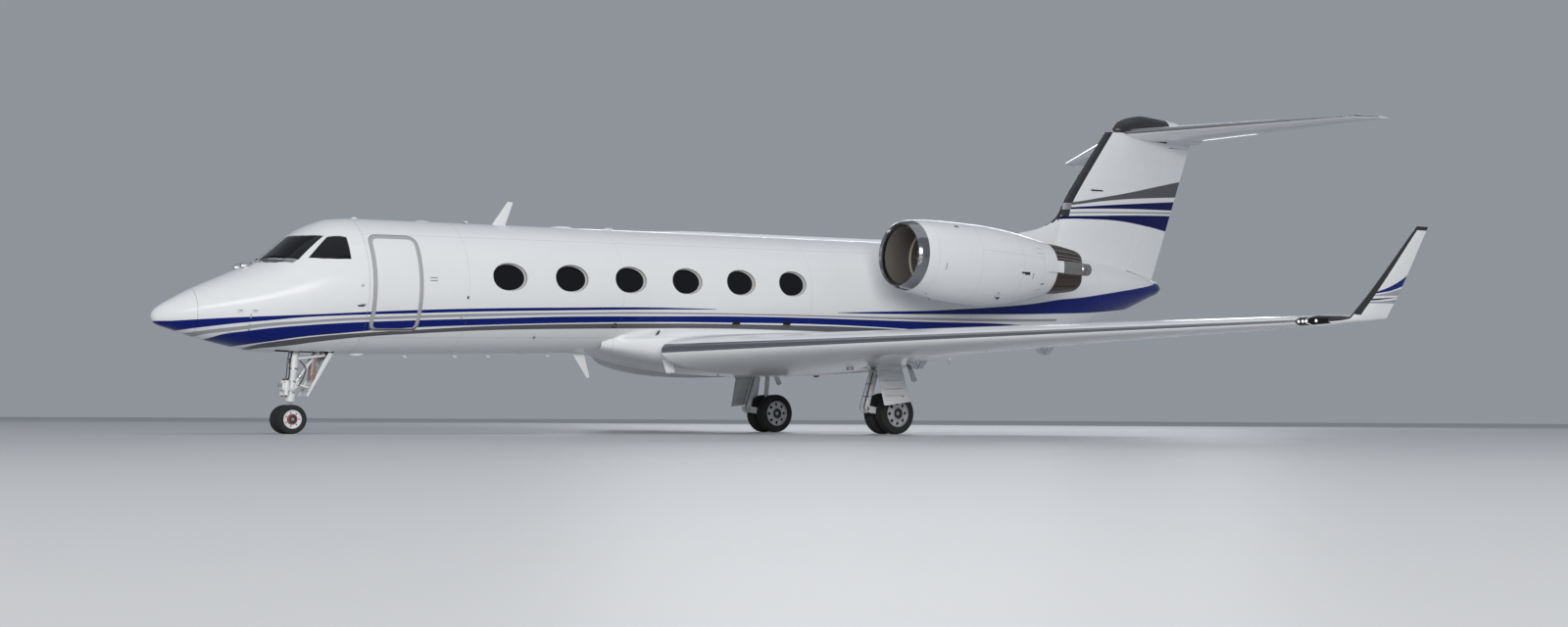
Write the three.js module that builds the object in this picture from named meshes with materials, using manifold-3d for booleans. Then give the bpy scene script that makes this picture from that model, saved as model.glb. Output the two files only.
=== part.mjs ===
// A twin-engine business jet with a T-tail, parked on its wheels, in millimetres with +Z up.
// Airframe coordinates: x runs aft from the nose tip, y to starboard, z up from the cabin's
// centre line. The whole airframe is then pitched a little nose down and set on the ground.
import * as THREE from "three";
import { mergeVertices } from "three/addons/utils/BufferGeometryUtils.js";
import Module from "manifold-3d";

const wasm = await Module();
wasm.setup();

// Attitude on the ground
const PITCH = THREE.MathUtils.degToRad(1.76);
const NOSE_AXIS_HEIGHT = 2489;

// Fuselage
const RADIUS = 1195;
const WALL = 60;
const AFT_WALL = 35;
const NOSE_SPLIT = 620;
const CABIN_START = 3300;
const CABIN_END = 17100;
const TAIL_SPLIT = 21300;
const CROWN_SPLIT = 880;
const BELLY_SPLIT = -860;
const FLOOR_TOP = -740;
const FLOOR_THICKNESS = 100;
const GAP = 0.3;
const MOVING_GAP = 6;

// Cabin windows, six a side
const WINDOW_COUNT = 6;
const WINDOW_FIRST = 5882;
const WINDOW_PITCH = 1255;
const WINDOW_HEIGHT_ABOVE_AXIS = 125;
const WINDOW_WIDTH = 660;
const WINDOW_TALL = 480;

// Entry door
const DOOR = { front: 3420, rear: 4260, sill: -824, bottom: -785, top: 840, corner: 160, foot: 12 };
const DOOR_HINGE = { z: -768, inset: 25, pin: 10, reach: 26 };

// Wing: leading edge sweep from its tangent, chord from the straight taper
const WING_ROOT = 1350;
const WING_TIP = 11300;
const WING_LE_ROOT = 8990;
const WING_LE_SLOPE = 0.617;
const WING_LE_HEIGHT = -1190;
const WING_LE_RISE = 0.016;
const CHORD_CENTRE = 5940;
const CHORD_SLOPE = 0.362;
const TRAILING_KINK = 3900;
const ROOT_RATIO = 0.125;
const TIP_RATIO = 0.1;
const ROOT_INCIDENCE = 3.0;
const TIP_INCIDENCE = -1.5;

// Wheels and legs
const WHEELBASE = 11610;
const NOSE_GEAR_X = 2353;
const TRACK = 4170;
const MAIN_TYRE = { radius: 415, width: 235, spacing: 385, rim: 215, bore: 40.5 };
const NOSE_TYRE = { radius: 250, width: 184, spacing: 300, rim: 132, bore: 30.5 };
const NOSE_LEAN = THREE.MathUtils.degToRad(6.3);

// Engines
const ENGINE = { x: 14070, y: 2300, z: 710, tilt: THREE.MathUtils.degToRad(2.6) };
const FAN_RADIUS = 559;
const FAN_BLADES = 16;

// Fin and tailplane
const FIN_TOP = 4150;
const TAILPLANE_SPAN = 9750;
const TAILPLANE_HEIGHT = 4140;
const TAIL_RATIO = 0.1;

// Finishes
const WHITE = { color: 0xf1f2f3, roughness: 0.2, metalness: 0.0 };
const STEEL = { color: 0xc9ccd0, roughness: 0.25, metalness: 0.9 };
const DARK_METAL = { color: 0x3d3a38, roughness: 0.45, metalness: 0.8 };
const TYRE = { color: 0x202022, roughness: 0.85, metalness: 0.0 };
const GLASS = { color: 0x15181c, roughness: 0.08, metalness: 0.0 };
const LINING = { color: 0xcfc7ba, roughness: 0.7, metalness: 0.0 };

// Turns a closed geometry into a solid that can be joined and cut
function solid(geometry) {
  const merged = mergeVertices(bareCopy(geometry), 0.001);
  return new wasm.Manifold(new wasm.Mesh({
    numProp: 3,
    vertProperties: new Float32Array(merged.attributes.position.array),
    triVerts: new Uint32Array(merged.index.array),
  }));
}

function geometryOf(manifold) {
  const mesh = manifold.getMesh();
  const geometry = new THREE.BufferGeometry();
  geometry.setAttribute("position", new THREE.BufferAttribute(mesh.vertProperties, 3));
  geometry.setIndex(new THREE.BufferAttribute(mesh.triVerts, 1));
  geometry.computeVertexNormals();
  return geometry;
}

// A closed skin through rings of the same number of points, capped at both ends
function loft(rings) {
  const count = rings[0].length;
  const points = rings.flat();
  const faces = [];
  for (let row = 0; row + 1 < rings.length; row += 1) {
    for (let step = 0; step < count; step += 1) {
      const a = row * count + step;
      const b = row * count + (step + 1) % count;
      faces.push(a, b, b + count, a, b + count, a + count);
    }
  }
  const last = (rings.length - 1) * count;
  for (const [first, flip] of [[0, true], [last, false]]) {
    const middle = new THREE.Vector3();
    for (let step = 0; step < count; step += 1) {
      middle.add(points[first + step]);
    }
    points.push(middle.divideScalar(count));
    for (let step = 0; step < count; step += 1) {
      const a = first + step;
      const b = first + (step + 1) % count;
      faces.push(...(flip ? [b, a, points.length - 1] : [a, b, points.length - 1]));
    }
  }
  const geometry = new THREE.BufferGeometry().setFromPoints(points);
  geometry.setIndex(signedVolume(points, faces) < 0 ? faces.reverse() : faces);
  return solid(geometry);
}

function signedVolume(points, faces) {
  let sum = 0;
  for (let i = 0; i < faces.length; i += 3) {
    const cross = new THREE.Vector3().crossVectors(points[faces[i + 1]], points[faces[i + 2]]);
    sum += points[faces[i]].dot(cross);
  }
  return sum / 6;
}

function box(x0, x1, y0, y1, z0, z1) {
  const geometry = new THREE.BoxGeometry(x1 - x0, y1 - y0, z1 - z0);
  geometry.translate((x0 + x1) / 2, (y0 + y1) / 2, (z0 + z1) / 2);
  return solid(geometry);
}

// A round bar between two points
function bar(from, to, radius, sides = 12) {
  const direction = new THREE.Vector3().subVectors(to, from);
  const geometry = new THREE.CylinderGeometry(radius, radius, direction.length(), sides);
  const turn = new THREE.Quaternion();
  turn.setFromUnitVectors(new THREE.Vector3(0, 1, 0), direction.clone().normalize());
  geometry.applyQuaternion(turn);
  geometry.translate((from.x + to.x) / 2, (from.y + to.y) / 2, (from.z + to.z) / 2);
  return solid(geometry);
}

// An outline drawn in x and z, extruded across y
function plateAcross(outline, y0, y1) {
  const corners = (list) => new THREE.Shape(list.map(([x, z]) => new THREE.Vector2(x, z)));
  const shape = outline instanceof THREE.Shape ? outline : corners(outline);
  const settings = { depth: y1 - y0, bevelEnabled: false, curveSegments: 6 };
  const geometry = new THREE.ExtrudeGeometry(shape, settings);
  geometry.rotateX(Math.PI / 2);
  geometry.translate(0, y1, 0);
  return solid(geometry);
}

// An outline drawn in y and z, extruded along x
function plateAlong(outline, x0, x1) {
  const shape = new THREE.Shape(outline.map(([y, z]) => new THREE.Vector2(y, z)));
  const geometry = new THREE.ExtrudeGeometry(shape, { depth: x1 - x0, bevelEnabled: false });
  geometry.rotateX(Math.PI / 2);
  geometry.rotateZ(Math.PI / 2);
  geometry.translate(x0, 0, 0);
  return solid(geometry);
}

// A profile of [radius, height] pairs turned about the x axis, or about y
function turned(profile, sides = 32, about = "x") {
  const geometry = new THREE.LatheGeometry(profile.map(([r, a]) => new THREE.Vector2(r, a)), sides);
  if (about === "x") {
    geometry.rotateZ(-Math.PI / 2);
  }
  const points = [];
  const merged = mergeVertices(bareCopy(geometry), 0.001);
  for (let i = 0; i < merged.attributes.position.count; i += 1) {
    points.push(new THREE.Vector3().fromBufferAttribute(merged.attributes.position, i));
  }
  const faces = Array.from(merged.index.array);
  merged.setIndex(signedVolume(points, faces) < 0 ? faces.reverse() : faces);
  return solid(merged);
}

function bareCopy(geometry) {
  const bare = geometry.clone();
  bare.deleteAttribute("normal");
  bare.deleteAttribute("uv");
  return bare;
}

// An upright outline with rounded upper corners and nearly square lower ones
function doorOutline(x0, x1, z0, z1, corner, foot) {
  const shape = new THREE.Shape();
  shape.moveTo(x0 + foot, z0);
  shape.lineTo(x1 - foot, z0);
  shape.lineTo(x1, z0 + foot);
  shape.lineTo(x1, z1 - corner);
  shape.absarc(x1 - corner, z1 - corner, corner, 0, Math.PI / 2);
  shape.lineTo(x0 + corner, z1);
  shape.absarc(x0 + corner, z1 - corner, corner, Math.PI / 2, Math.PI);
  shape.lineTo(x0, z0 + foot);
  return shape;
}

// Fuselage sections: station, crown, keel, half width, height of the widest point
const FUSELAGE_SECTIONS = [
  { x: 0, top: -500, keel: -600, half: 50, wide: -550 },
  { x: 60, top: -430, keel: -670, half: 130, wide: -550 },
  { x: 290, top: -275, keel: -760, half: 300, wide: -530 },
  { x: 620, top: -95, keel: -875, half: 480, wide: -480 },
  { x: 1010, top: 80, keel: -985, half: 670, wide: -420 },
  { x: 1430, top: 265, keel: -1085, half: 835, wide: -350 },
  { x: 1760, top: 400, keel: -1145, half: 935, wide: -280 },
  { x: 2050, top: 650, keel: -1165, half: 1005, wide: -215 },
  { x: 2330, top: 880, keel: -1180, half: 1060, wide: -160 },
  { x: 2640, top: 1050, keel: -1190, half: 1110, wide: -100 },
  { x: 2980, top: 1160, keel: -1195, half: 1155, wide: -50 },
  { x: 3420, top: 1195, keel: -1195, half: 1195, wide: 0 },
  { x: 18600, top: 1195, keel: -1195, half: 1195, wide: 0 },
  { x: 19500, top: 1175, keel: -1130, half: 1165, wide: 20 },
  { x: 20500, top: 1110, keel: -930, half: 1075, wide: 90 },
  { x: 21500, top: 1000, keel: -650, half: 915, wide: 170 },
  { x: 22870, top: 790, keel: -260, half: 610, wide: 265 },
  { x: 23800, top: 590, keel: 60, half: 350, wide: 325 },
  { x: 24250, top: 460, keel: 210, half: 165, wide: 335 },
  { x: 24340, top: 400, keel: 270, half: 80, wide: 335 },
];

function bodyRing(section, inset, sides = 32) {
  const ring = [];
  for (let step = 0; step < sides; step += 1) {
    const angle = 2 * Math.PI * step / sides;
    const rise = Math.sin(angle) > 0 ? section.top - section.wide : section.wide - section.keel;
    ring.push(new THREE.Vector3(
      section.x,
      (section.half - inset) * Math.cos(angle),
      section.wide + (rise - inset) * Math.sin(angle),
    ));
  }
  return ring;
}

function fuselageBody(inset, from = 0, to = 1e6) {
  const inside = FUSELAGE_SECTIONS.filter(({ x }) => x >= from && x <= to);
  return loft(inside.map((section) => bodyRing(section, inset)));
}

const bodyOuter = fuselageBody(0);
const bodyInner = fuselageBody(WALL, 200, 24000);
const bodyShell = bodyOuter.subtract(bodyInner);
const aftShell = bodyOuter.subtract(fuselageBody(AFT_WALL, 3400, 24000));
const bodyClear = fuselageBody(-GAP);

function slab(x0, x1, y0 = -4000, y1 = 4000, z0 = -4000, z1 = 6000) {
  return box(x0, x1, y0, y1, z0, z1);
}

// Wing sections: a symmetric section of the given thickness, turned by its incidence
const CHORD_STEPS = [1, 0.93, 0.8, 0.62, 0.42, 0.25, 0.12, 0.04, 0.008];

function halfThickness(part, ratio) {
  const bulge = 0.2969 * Math.sqrt(part) - 0.126 * part - 0.3516 * part ** 2;
  return 5 * ratio * (bulge + 0.2843 * part ** 3 - 0.1015 * part ** 4);
}

function aerofoil({ lead, chord, ratio, incidence = 0, up = new THREE.Vector3(0, 0, 1), extra = 0 }) {
  const turn = THREE.MathUtils.degToRad(incidence);
  const along = new THREE.Vector3(Math.cos(turn), 0, -Math.sin(turn));
  const ring = [];
  const place = (part, side) => {
    const thick = side * (halfThickness(part, ratio) * chord + 2 + extra);
    ring.push(lead.clone().addScaledVector(along, part * (chord + extra)).addScaledVector(up, thick));
  };
  CHORD_STEPS.forEach((part) => place(part, 1));
  ring.push(lead.clone().addScaledVector(along, -extra));
  [...CHORD_STEPS].reverse().forEach((part) => place(part, -1));
  return ring;
}

const wingLead = (y) => WING_LE_ROOT + WING_LE_SLOPE * (y - WING_ROOT);
const wingLeadHeight = (y) => WING_LE_HEIGHT + WING_LE_RISE * (y - WING_ROOT);
const straightChord = (y) => CHORD_CENTRE - CHORD_SLOPE * y;
const wingTrail = (y) => wingLead(Math.max(y, TRAILING_KINK)) + straightChord(Math.max(y, TRAILING_KINK));
const wingChord = (y) => wingTrail(y) - wingLead(y);
const alongSpan = (y) => (y - WING_ROOT) / (WING_TIP - WING_ROOT);
const wingRatio = (y) => ROOT_RATIO + (TIP_RATIO - ROOT_RATIO) * alongSpan(y);
const wingIncidence = (y) => ROOT_INCIDENCE + (TIP_INCIDENCE - ROOT_INCIDENCE) * alongSpan(y);

function wingSection(y, side, extra = 0) {
  return aerofoil({
    lead: new THREE.Vector3(wingLead(y), side * y, wingLeadHeight(y)),
    chord: wingChord(y),
    ratio: wingRatio(y),
    incidence: wingIncidence(y),
    extra,
  });
}

// The middle of the wing's thickness at a chordwise place
function wingMid(x, y, side = 1) {
  const drop = (x - wingLead(y)) * Math.tan(THREE.MathUtils.degToRad(wingIncidence(y)));
  return new THREE.Vector3(x, side * y, wingLeadHeight(y) - drop);
}

// A frame whose y axis lies on a hinge line, x points aft and z is the thickness direction
function hingeFrame(from, to, up) {
  const along = new THREE.Vector3().subVectors(to, from).normalize();
  const aft = new THREE.Vector3().crossVectors(along, up).normalize();
  if (aft.x < 0) {
    aft.negate();
  }
  const thick = new THREE.Vector3().crossVectors(aft, along).normalize();
  if (thick.dot(up) < 0) {
    thick.negate();
  }
  const frame = new THREE.Matrix4().makeBasis(aft, along, thick);
  return frame.setPosition(from);
}

function placed(manifold, frame) {
  return manifold.transform(frame.elements);
}

// Splits a surface into its fixed part and a moving part behind a hinge line, with a round nose
function splitOnHinge(whole, from, to, up, noseFrom, noseTo) {
  const frame = hingeFrame(from, to, up);
  const length = from.distanceTo(to);
  const reach = Math.max(noseFrom, noseTo) + MOVING_GAP;
  const taper = new THREE.CylinderGeometry(noseTo, noseFrom, length, 24);
  taper.translate(0, length / 2, 0);
  const behind = box(0, 3000, 0, length, -600, 600).add(solid(taper));
  const cutout = box(-reach, 3100, -MOVING_GAP, length + MOVING_GAP, -600, 600);
  const pinRadius = 12;
  const pin = new THREE.CylinderGeometry(pinRadius, pinRadius, length + 60, 16);
  pin.translate(0, length / 2, 0);
  const socket = new THREE.CylinderGeometry(pinRadius + 0.5, pinRadius + 0.5, length + 64, 16);
  socket.translate(0, length / 2, 0);
  return {
    moving: whole.intersect(placed(behind, frame)).add(placed(solid(pin), frame)),
    fixed: whole.subtract(placed(cutout, frame)).subtract(placed(solid(socket), frame)),
    frame,
  };
}

// Scene graph: the airframe group carries everything, pivot groups carry what moves
const airframe = new THREE.Group();
airframe.rotation.y = -PITCH;
airframe.position.z = NOSE_AXIS_HEIGHT;

function addPiece(name, manifold, finish, parent = airframe) {
  const geometry = geometryOf(manifold);
  parent.updateMatrix();
  if (parent !== airframe) {
    geometry.applyMatrix4(parent.matrix.clone().invert());
  }
  const piece = new THREE.Mesh(geometry, new THREE.MeshStandardMaterial(finish));
  piece.name = name;
  parent.add(piece);
  return piece;
}

// A group at a hinge point whose local y axis is the hinge line
function pivot(name, from, to) {
  const group = new THREE.Group();
  group.name = name;
  group.position.copy(from);
  const along = new THREE.Vector3().subVectors(to, from).normalize();
  group.quaternion.setFromUnitVectors(new THREE.Vector3(0, 1, 0), along);
  airframe.add(group);
  return group;
}

// Ground coordinates to airframe coordinates
function fromGround(x, y, height) {
  const rise = height - NOSE_AXIS_HEIGHT;
  return new THREE.Vector3(
    x * Math.cos(PITCH) + rise * Math.sin(PITCH),
    y,
    rise * Math.cos(PITCH) - x * Math.sin(PITCH),
  );
}

const v = (x, y, z) => new THREE.Vector3(x, y, z);
const SIDES = [["left", -1], ["right", 1]];

// Windscreen and cockpit side windows: outlines seen from the front and from the side
const WINDSCREEN_FRONT = [[45, 412], [45, 878], [665, 812], [845, 375]];
const SIDE_WINDOW = [[2400, 400], [2745, 800], [3020, 810], [3120, 410]];

function shrink(outline, by) {
  const middle = [0, 1].map((axis) => {
    return outline.reduce((sum, corner) => sum + corner[axis], 0) / outline.length;
  });
  return outline.map(([a, b]) => {
    const [da, db] = [a - middle[0], b - middle[1]];
    const scale = 1 - by / Math.hypot(da, db);
    return [middle[0] + da * scale, middle[1] + db * scale];
  });
}

function windscreenCut(side, by = 0) {
  return plateAlong(shrink(WINDSCREEN_FRONT, by).map(([y, z]) => [side * y, z]), 1500, 2900);
}

function sideWindowCut(side, by = 0) {
  const [y0, y1] = side < 0 ? [-1400, -500] : [500, 1400];
  return plateAcross(shrink(SIDE_WINDOW, by), y0, y1);
}

// Nose gear bay: a box open below
const BAY = { front: 1950, rear: 3000, half: 290, roof: -760, wall: 25 };

function noseShell() {
  const { front, rear, half, roof, wall } = BAY;
  const bayBlock = box(front - wall, rear + wall, -half - wall, half + wall, -1400, roof + wall);
  const bayRoom = box(front, rear, -half, half, -1500, roof);
  const span = slab(NOSE_SPLIT + GAP / 2, CABIN_START - GAP / 2);
  let shell = bodyShell.add(bayBlock.intersect(bodyOuter)).intersect(span);
  shell = shell.subtract(bayRoom);
  for (const [, side] of SIDES) {
    shell = shell.subtract(windscreenCut(side)).subtract(sideWindowCut(side));
  }
  return shell;
}

function fuselage() {
  const radomeShell = bodyOuter.subtract(fuselageBody(25, 60, 1500));
  addPiece("nose_radome", radomeShell.intersect(slab(-10, NOSE_SPLIT - GAP / 2)), WHITE);
  addPiece("nose_shell", noseShell(), WHITE);
  const cabin = bodyShell.intersect(slab(CABIN_START + GAP / 2, CABIN_END - GAP / 2));
  addPiece("cabin_crown", cabin.intersect(slab(0, 30000, -2000, 2000, CROWN_SPLIT + GAP / 2, 2000)), WHITE);
  addPiece("cabin_belly", cabin.intersect(slab(0, 30000, -2000, 2000, -2000, BELLY_SPLIT - GAP / 2)), WHITE);
  for (const [name, side] of SIDES) {
    const half = side < 0 ? slab(0, 30000, -2000, 0, BELLY_SPLIT + GAP / 2, CROWN_SPLIT - GAP / 2)
      : slab(0, 30000, 0, 2000, BELLY_SPLIT + GAP / 2, CROWN_SPLIT - GAP / 2);
    let panel = cabin.intersect(half);
    for (let index = 0; index < WINDOW_COUNT; index += 1) {
      panel = panel.subtract(windowCut(index, side));
    }
    if (side < 0) {
      panel = panel.subtract(doorOpening()).subtract(doorPin(0.5));
    }
    addPiece(`cabin_side_${name}`, panel, WHITE);
    addPiece(`cabin_windows_${name}`, windowStrip(side), GLASS);
    const glass = fuselageBody(6, 1000, 4000).subtract(fuselageBody(26, 1000, 4000));
    addPiece(`windscreen_${name}`, glass.intersect(windscreenCut(side, 0.6)), GLASS);
    addPiece(`cockpit_side_window_${name}`, glass.intersect(sideWindowCut(side, 0.6)), GLASS);
  }
  addPiece("cabin_floor", cabinFloor(), LINING);
  addPiece("flight_deck", flightDeck(), DARK_METAL);
  addPiece("aft_fuselage", aftShell.intersect(slab(CABIN_END + GAP / 2, TAIL_SPLIT - GAP / 2)), WHITE);
  addPiece("tail_cone", aftShell.intersect(slab(TAIL_SPLIT + GAP / 2, 25000)), WHITE);
}

function windowCut(index, side) {
  const x = WINDOW_FIRST + index * WINDOW_PITCH;
  const oval = new THREE.Shape();
  oval.absellipse(x, WINDOW_HEIGHT_ABOVE_AXIS, WINDOW_WIDTH / 2, WINDOW_TALL / 2, 0, 2 * Math.PI);
  const geometry = new THREE.ExtrudeGeometry(oval, { depth: 600, bevelEnabled: false, curveSegments: 12 });
  geometry.rotateX(Math.PI / 2);
  geometry.translate(0, side < 0 ? -900 : 1500, 0);
  return solid(geometry);
}

// One curved pane behind each side's row of windows
function windowStrip(side) {
  const x0 = WINDOW_FIRST - 430;
  const x1 = WINDOW_FIRST + (WINDOW_COUNT - 1) * WINDOW_PITCH + 430;
  const band = fuselageBody(WALL + 0.6, 3000, 19000).subtract(fuselageBody(WALL + 12, 3000, 19000));
  return band.intersect(side < 0 ? slab(x0, x1, -2000, 0, -190, 440) : slab(x0, x1, 0, 2000, -190, 440));
}

function doorOpening() {
  const { front, rear, sill, top, corner, foot } = DOOR;
  return plateAcross(doorOutline(front, rear, sill, top, corner, foot), -1400, -500);
}

const doorHingeY = -Math.sqrt((RADIUS - DOOR_HINGE.inset) ** 2 - DOOR_HINGE.z ** 2);

// The hinge pin along the door's foot, with its ends in the fuselage side
function doorPin(extra) {
  const reach = DOOR_HINGE.reach + 4 * extra;
  const from = v(DOOR.front - reach, doorHingeY, DOOR_HINGE.z);
  const to = v(DOOR.rear + reach, doorHingeY, DOOR_HINGE.z);
  return bar(from, to, DOOR_HINGE.pin + extra, 16);
}

// The door is a piece of the wall with five treads on its inner face
const TREAD = { first: -560, rise: 270, depth: 200, thick: 30, half: 300, count: 5 };

function entryDoor() {
  const { front, rear, bottom, top, corner, foot } = DOOR;
  const inner = [front + MOVING_GAP, rear - MOVING_GAP, bottom, top - MOVING_GAP];
  const outline = doorOutline(...inner, corner - MOVING_GAP, foot);
  let leaf = bodyShell.intersect(plateAcross(outline, -1400, -500)).add(doorPin(0));
  const middle = (front + rear) / 2;
  for (let index = 0; index < TREAD.count; index += 1) {
    const z = TREAD.first + index * TREAD.rise;
    const skin = -Math.sqrt((RADIUS - WALL / 2) ** 2 - z ** 2);
    const [x0, x1] = [middle - TREAD.half, middle + TREAD.half];
    leaf = leaf.add(box(x0, x1, skin, skin + TREAD.depth, z, z + TREAD.thick));
  }
  return leaf;
}

function door() {
  const { front, rear } = DOOR;
  const line = [front, rear].map((x) => v(x, doorHingeY, DOOR_HINGE.z));
  const hinge = pivot("pivot_entry_door", ...line);
  addPiece("entry_door", entryDoor(), WHITE, hinge);
}

// The floor stops short of the door's swing, and has a shallow gutter along each bulkhead
const BULKHEAD = { thick: 40, doorHalf: 320, doorTop: 1000, gutter: 24, gutterDepth: 6 };
const DOOR_NOTCH = -775;

function cabinFloor() {
  const inside = fuselageBody(WALL + 0.6, 3000, 19000);
  const { thick, doorHalf, doorTop, gutter, gutterDepth } = BULKHEAD;
  const front = CABIN_START + 10;
  const back = CABIN_END - 10;
  const under = FLOOR_TOP - FLOOR_THICKNESS;
  const cutDepth = FLOOR_TOP - gutterDepth;
  const doorway = box(front - 10, front + 100, -doorHalf, doorHalf, FLOOR_TOP, doorTop);
  const floor = box(front, back, -1000, 1000, under, FLOOR_TOP)
    .subtract(slab(front + thick, front + thick + gutter, -2000, 2000, cutDepth))
    .subtract(slab(back - thick - gutter, back - thick, -2000, 2000, cutDepth))
    .subtract(slab(front - 1, front + thick + gutter, -doorHalf, doorHalf, cutDepth))
    .subtract(slab(DOOR.front - 10, DOOR.rear + 10, -2000, DOOR_NOTCH));
  const frontWall = slab(front, front + thick).subtract(doorway);
  const backWall = slab(back - thick, back);
  const lowest = slab(0, 20000, -2000, 2000, -2000, under);
  return floor.add(frontWall).add(backWall).intersect(inside).subtract(lowest);
}

// Cockpit floor, panel, centre pedestal and two seats as one piece
const DECK = {
  front: 1500,
  floor: -690,
  overlap: 10,
  panel: { x: [1560, 1760], top: 300 },
  pedestal: { x: [1750, 2250], half: 130, top: -250 },
  seat: { y: 500, x: [2350, 2860], half: 240, top: -240 },
  back: { x: [2800, 2930], half: 220, z: [-300, 420] },
};

function flightDeck() {
  const { front, floor, overlap, panel, pedestal, seat, back } = DECK;
  const inside = fuselageBody(WALL + 0.6, 200, 4000);
  const bayTop = BAY.roof + BAY.wall;
  let deck = box(front, CABIN_START - 1, -2000, 2000, bayTop + 0.5, floor);
  deck = deck.add(box(...panel.x, -2000, 2000, -1000, panel.top));
  deck = deck.subtract(box(0, BAY.front - BAY.wall, -2000, 2000, -2000, bayTop));
  const low = floor - overlap;
  deck = deck.add(box(...pedestal.x, -pedestal.half, pedestal.half, low, pedestal.top));
  for (const [, side] of SIDES) {
    const y = side * seat.y;
    deck = deck.add(box(...seat.x, y - seat.half, y + seat.half, low, seat.top));
    deck = deck.add(box(...back.x, y - back.half, y + back.half, ...back.z));
  }
  return deck.intersect(inside);
}

// Wings with their flaps and ailerons
const FLAP = { inner: v(14230, 1560, 0), outer: v(14930, 6560, 0), drop: 190, brackets: [900, 4100] };
// Bracket outlines in x and z from the flap's front edge, on the wing and on the flap
const BRACKET = {
  thick: 40,
  gap: 5,
  pin: 16,
  fixed: [[-420, -60], [-40, -60], [-12, -130], [38, -180], [38, -228], [-60, -228]],
  moving: [[20, -60], [260, -60], [60, -224], [-34, -224], [-34, -175], [14, -135]],
};
const AILERON = { inner: v(15070, 6860, 0), outer: v(16240, 10500, 0) };

function wing(name, side) {
  const stations = [WING_ROOT + GAP / 2, TRAILING_KINK, 7500, WING_TIP - GAP / 2];
  let panel = loft(stations.map((y) => wingSection(y, side))).subtract(legRecess(side));
  const up = v(0, 0, 1);

  const aileronFrom = wingMid(AILERON.inner.x, AILERON.inner.y, side);
  const aileronTo = wingMid(AILERON.outer.x, AILERON.outer.y, side);
  const aileron = splitOnHinge(panel, aileronFrom, aileronTo, up, 70, 45);
  panel = aileron.fixed;
  addPiece(`aileron_${name}`, aileron.moving, WHITE, pivot(`pivot_aileron_${name}`, aileronFrom, aileronTo));

  // The flap turns about a line below the wing, carried by two bracket plates with pins
  const [front, frontOuter] = [FLAP.inner, FLAP.outer].map(({ x, y }) => wingMid(x, y, side));
  const frame = hingeFrame(front, frontOuter, up);
  const length = front.distanceTo(frontOuter);
  const whole = panel;
  const slot = box(-MOVING_GAP, 3000, -MOVING_GAP, length + MOVING_GAP, -500, 500);
  panel = whole.subtract(placed(slot, frame));
  let flap = whole.intersect(placed(box(0, 3000, 0, length, -500, 500), frame));
  const { thick, gap, pin, fixed, moving } = BRACKET;
  const onHinge = (y) => v(0, y, -FLAP.drop);
  for (const start of FLAP.brackets) {
    const hole = barIn(frame, onHinge(start - 10), onHinge(start + thick + 10), pin + 0.5);
    const armStart = start + thick + gap;
    panel = panel.add(placed(plateAcross(fixed, start, start + thick), frame)).subtract(hole);
    flap = flap.add(placed(plateAcross(moving, armStart, armStart + thick), frame))
      .add(barIn(frame, onHinge(start + 4), onHinge(start + 2 * thick), pin));
  }
  const hingeLine = [onHinge(0), onHinge(1)].map((point) => point.applyMatrix4(frame));
  addPiece(`wing_${name}`, withJackPad(panel, side), WHITE);
  addPiece(`flap_${name}`, flap, WHITE, pivot(`pivot_flap_${name}`, ...hingeLine));
}

function barIn(frame, from, to, radius) {
  return bar(from.clone().applyMatrix4(frame), to.clone().applyMatrix4(frame), radius, 16);
}

// A flat jacking pad under each wing, outboard of the leg
const JACK_PAD = { x: 12600, y: 2500, radius: 70, drop: 25 };

function withJackPad(panel, side) {
  const middle = wingMid(JACK_PAD.x, JACK_PAD.y, side);
  const depth = halfThickness(0.5, wingRatio(JACK_PAD.y)) * wingChord(JACK_PAD.y);
  const bottom = middle.z - depth - JACK_PAD.drop - 30;
  return panel.add(bar(middle, v(JACK_PAD.x, side * JACK_PAD.y, bottom), JACK_PAD.radius, 24));
}

// Winglet sections: leading edge, chord, thickness ratio and the way its thickness points
const WINGLET_SECTIONS = [
  { x: 15129, y: 11300, z: -1031, chord: 1852, ratio: 0.1, lean: 0 },
  { x: 15610, y: 11410, z: -1012, chord: 1370, ratio: 0.1, lean: 4 },
  { x: 15950, y: 11510, z: -985, chord: 1020, ratio: 0.09, lean: 38 },
  { x: 16090, y: 11560, z: -850, chord: 950, ratio: 0.08, lean: 77 },
  { x: 17450, y: 11850, z: 560, chord: 315, ratio: 0.07, lean: 78 },
];

function winglet(name, side) {
  const rings = WINGLET_SECTIONS.map(({ x, y, z, chord, ratio, lean }) => {
    const angle = THREE.MathUtils.degToRad(lean);
    return aerofoil({
      lead: v(x, side * (y + GAP / 2), z),
      chord,
      ratio,
      incidence: lean < 10 ? TIP_INCIDENCE : 0,
      up: v(0, -side * Math.sin(angle), Math.cos(angle)),
    });
  });
  addPiece(`winglet_${name}`, loft(rings), WHITE);
}

// Wing root fairing: a saddle under the fuselage with flat sides that the wings butt against
const FAIRING_SECTIONS = [
  { x: 8100, half: 640, keel: -1150, shoulder: -960, top: -860 },
  { x: 8600, half: 900, keel: -1270, shoulder: -930, top: -760 },
  { x: 9100, half: 1190, keel: -1390, shoulder: -900, top: -560 },
  { x: 9700, half: WING_ROOT - GAP / 2, keel: -1500, shoulder: -860, top: -280 },
  { x: 11000, half: WING_ROOT - GAP / 2, keel: -1650, shoulder: -830, top: -250 },
  { x: 12800, half: WING_ROOT - GAP / 2, keel: -1705, shoulder: -870, top: -280 },
  { x: 15000, half: WING_ROOT - GAP / 2, keel: -1640, shoulder: -1000, top: -380 },
  { x: 16100, half: 1180, keel: -1440, shoulder: -960, top: -500 },
  { x: 17000, half: 800, keel: -1180, shoulder: -900, top: -600 },
];

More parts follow.
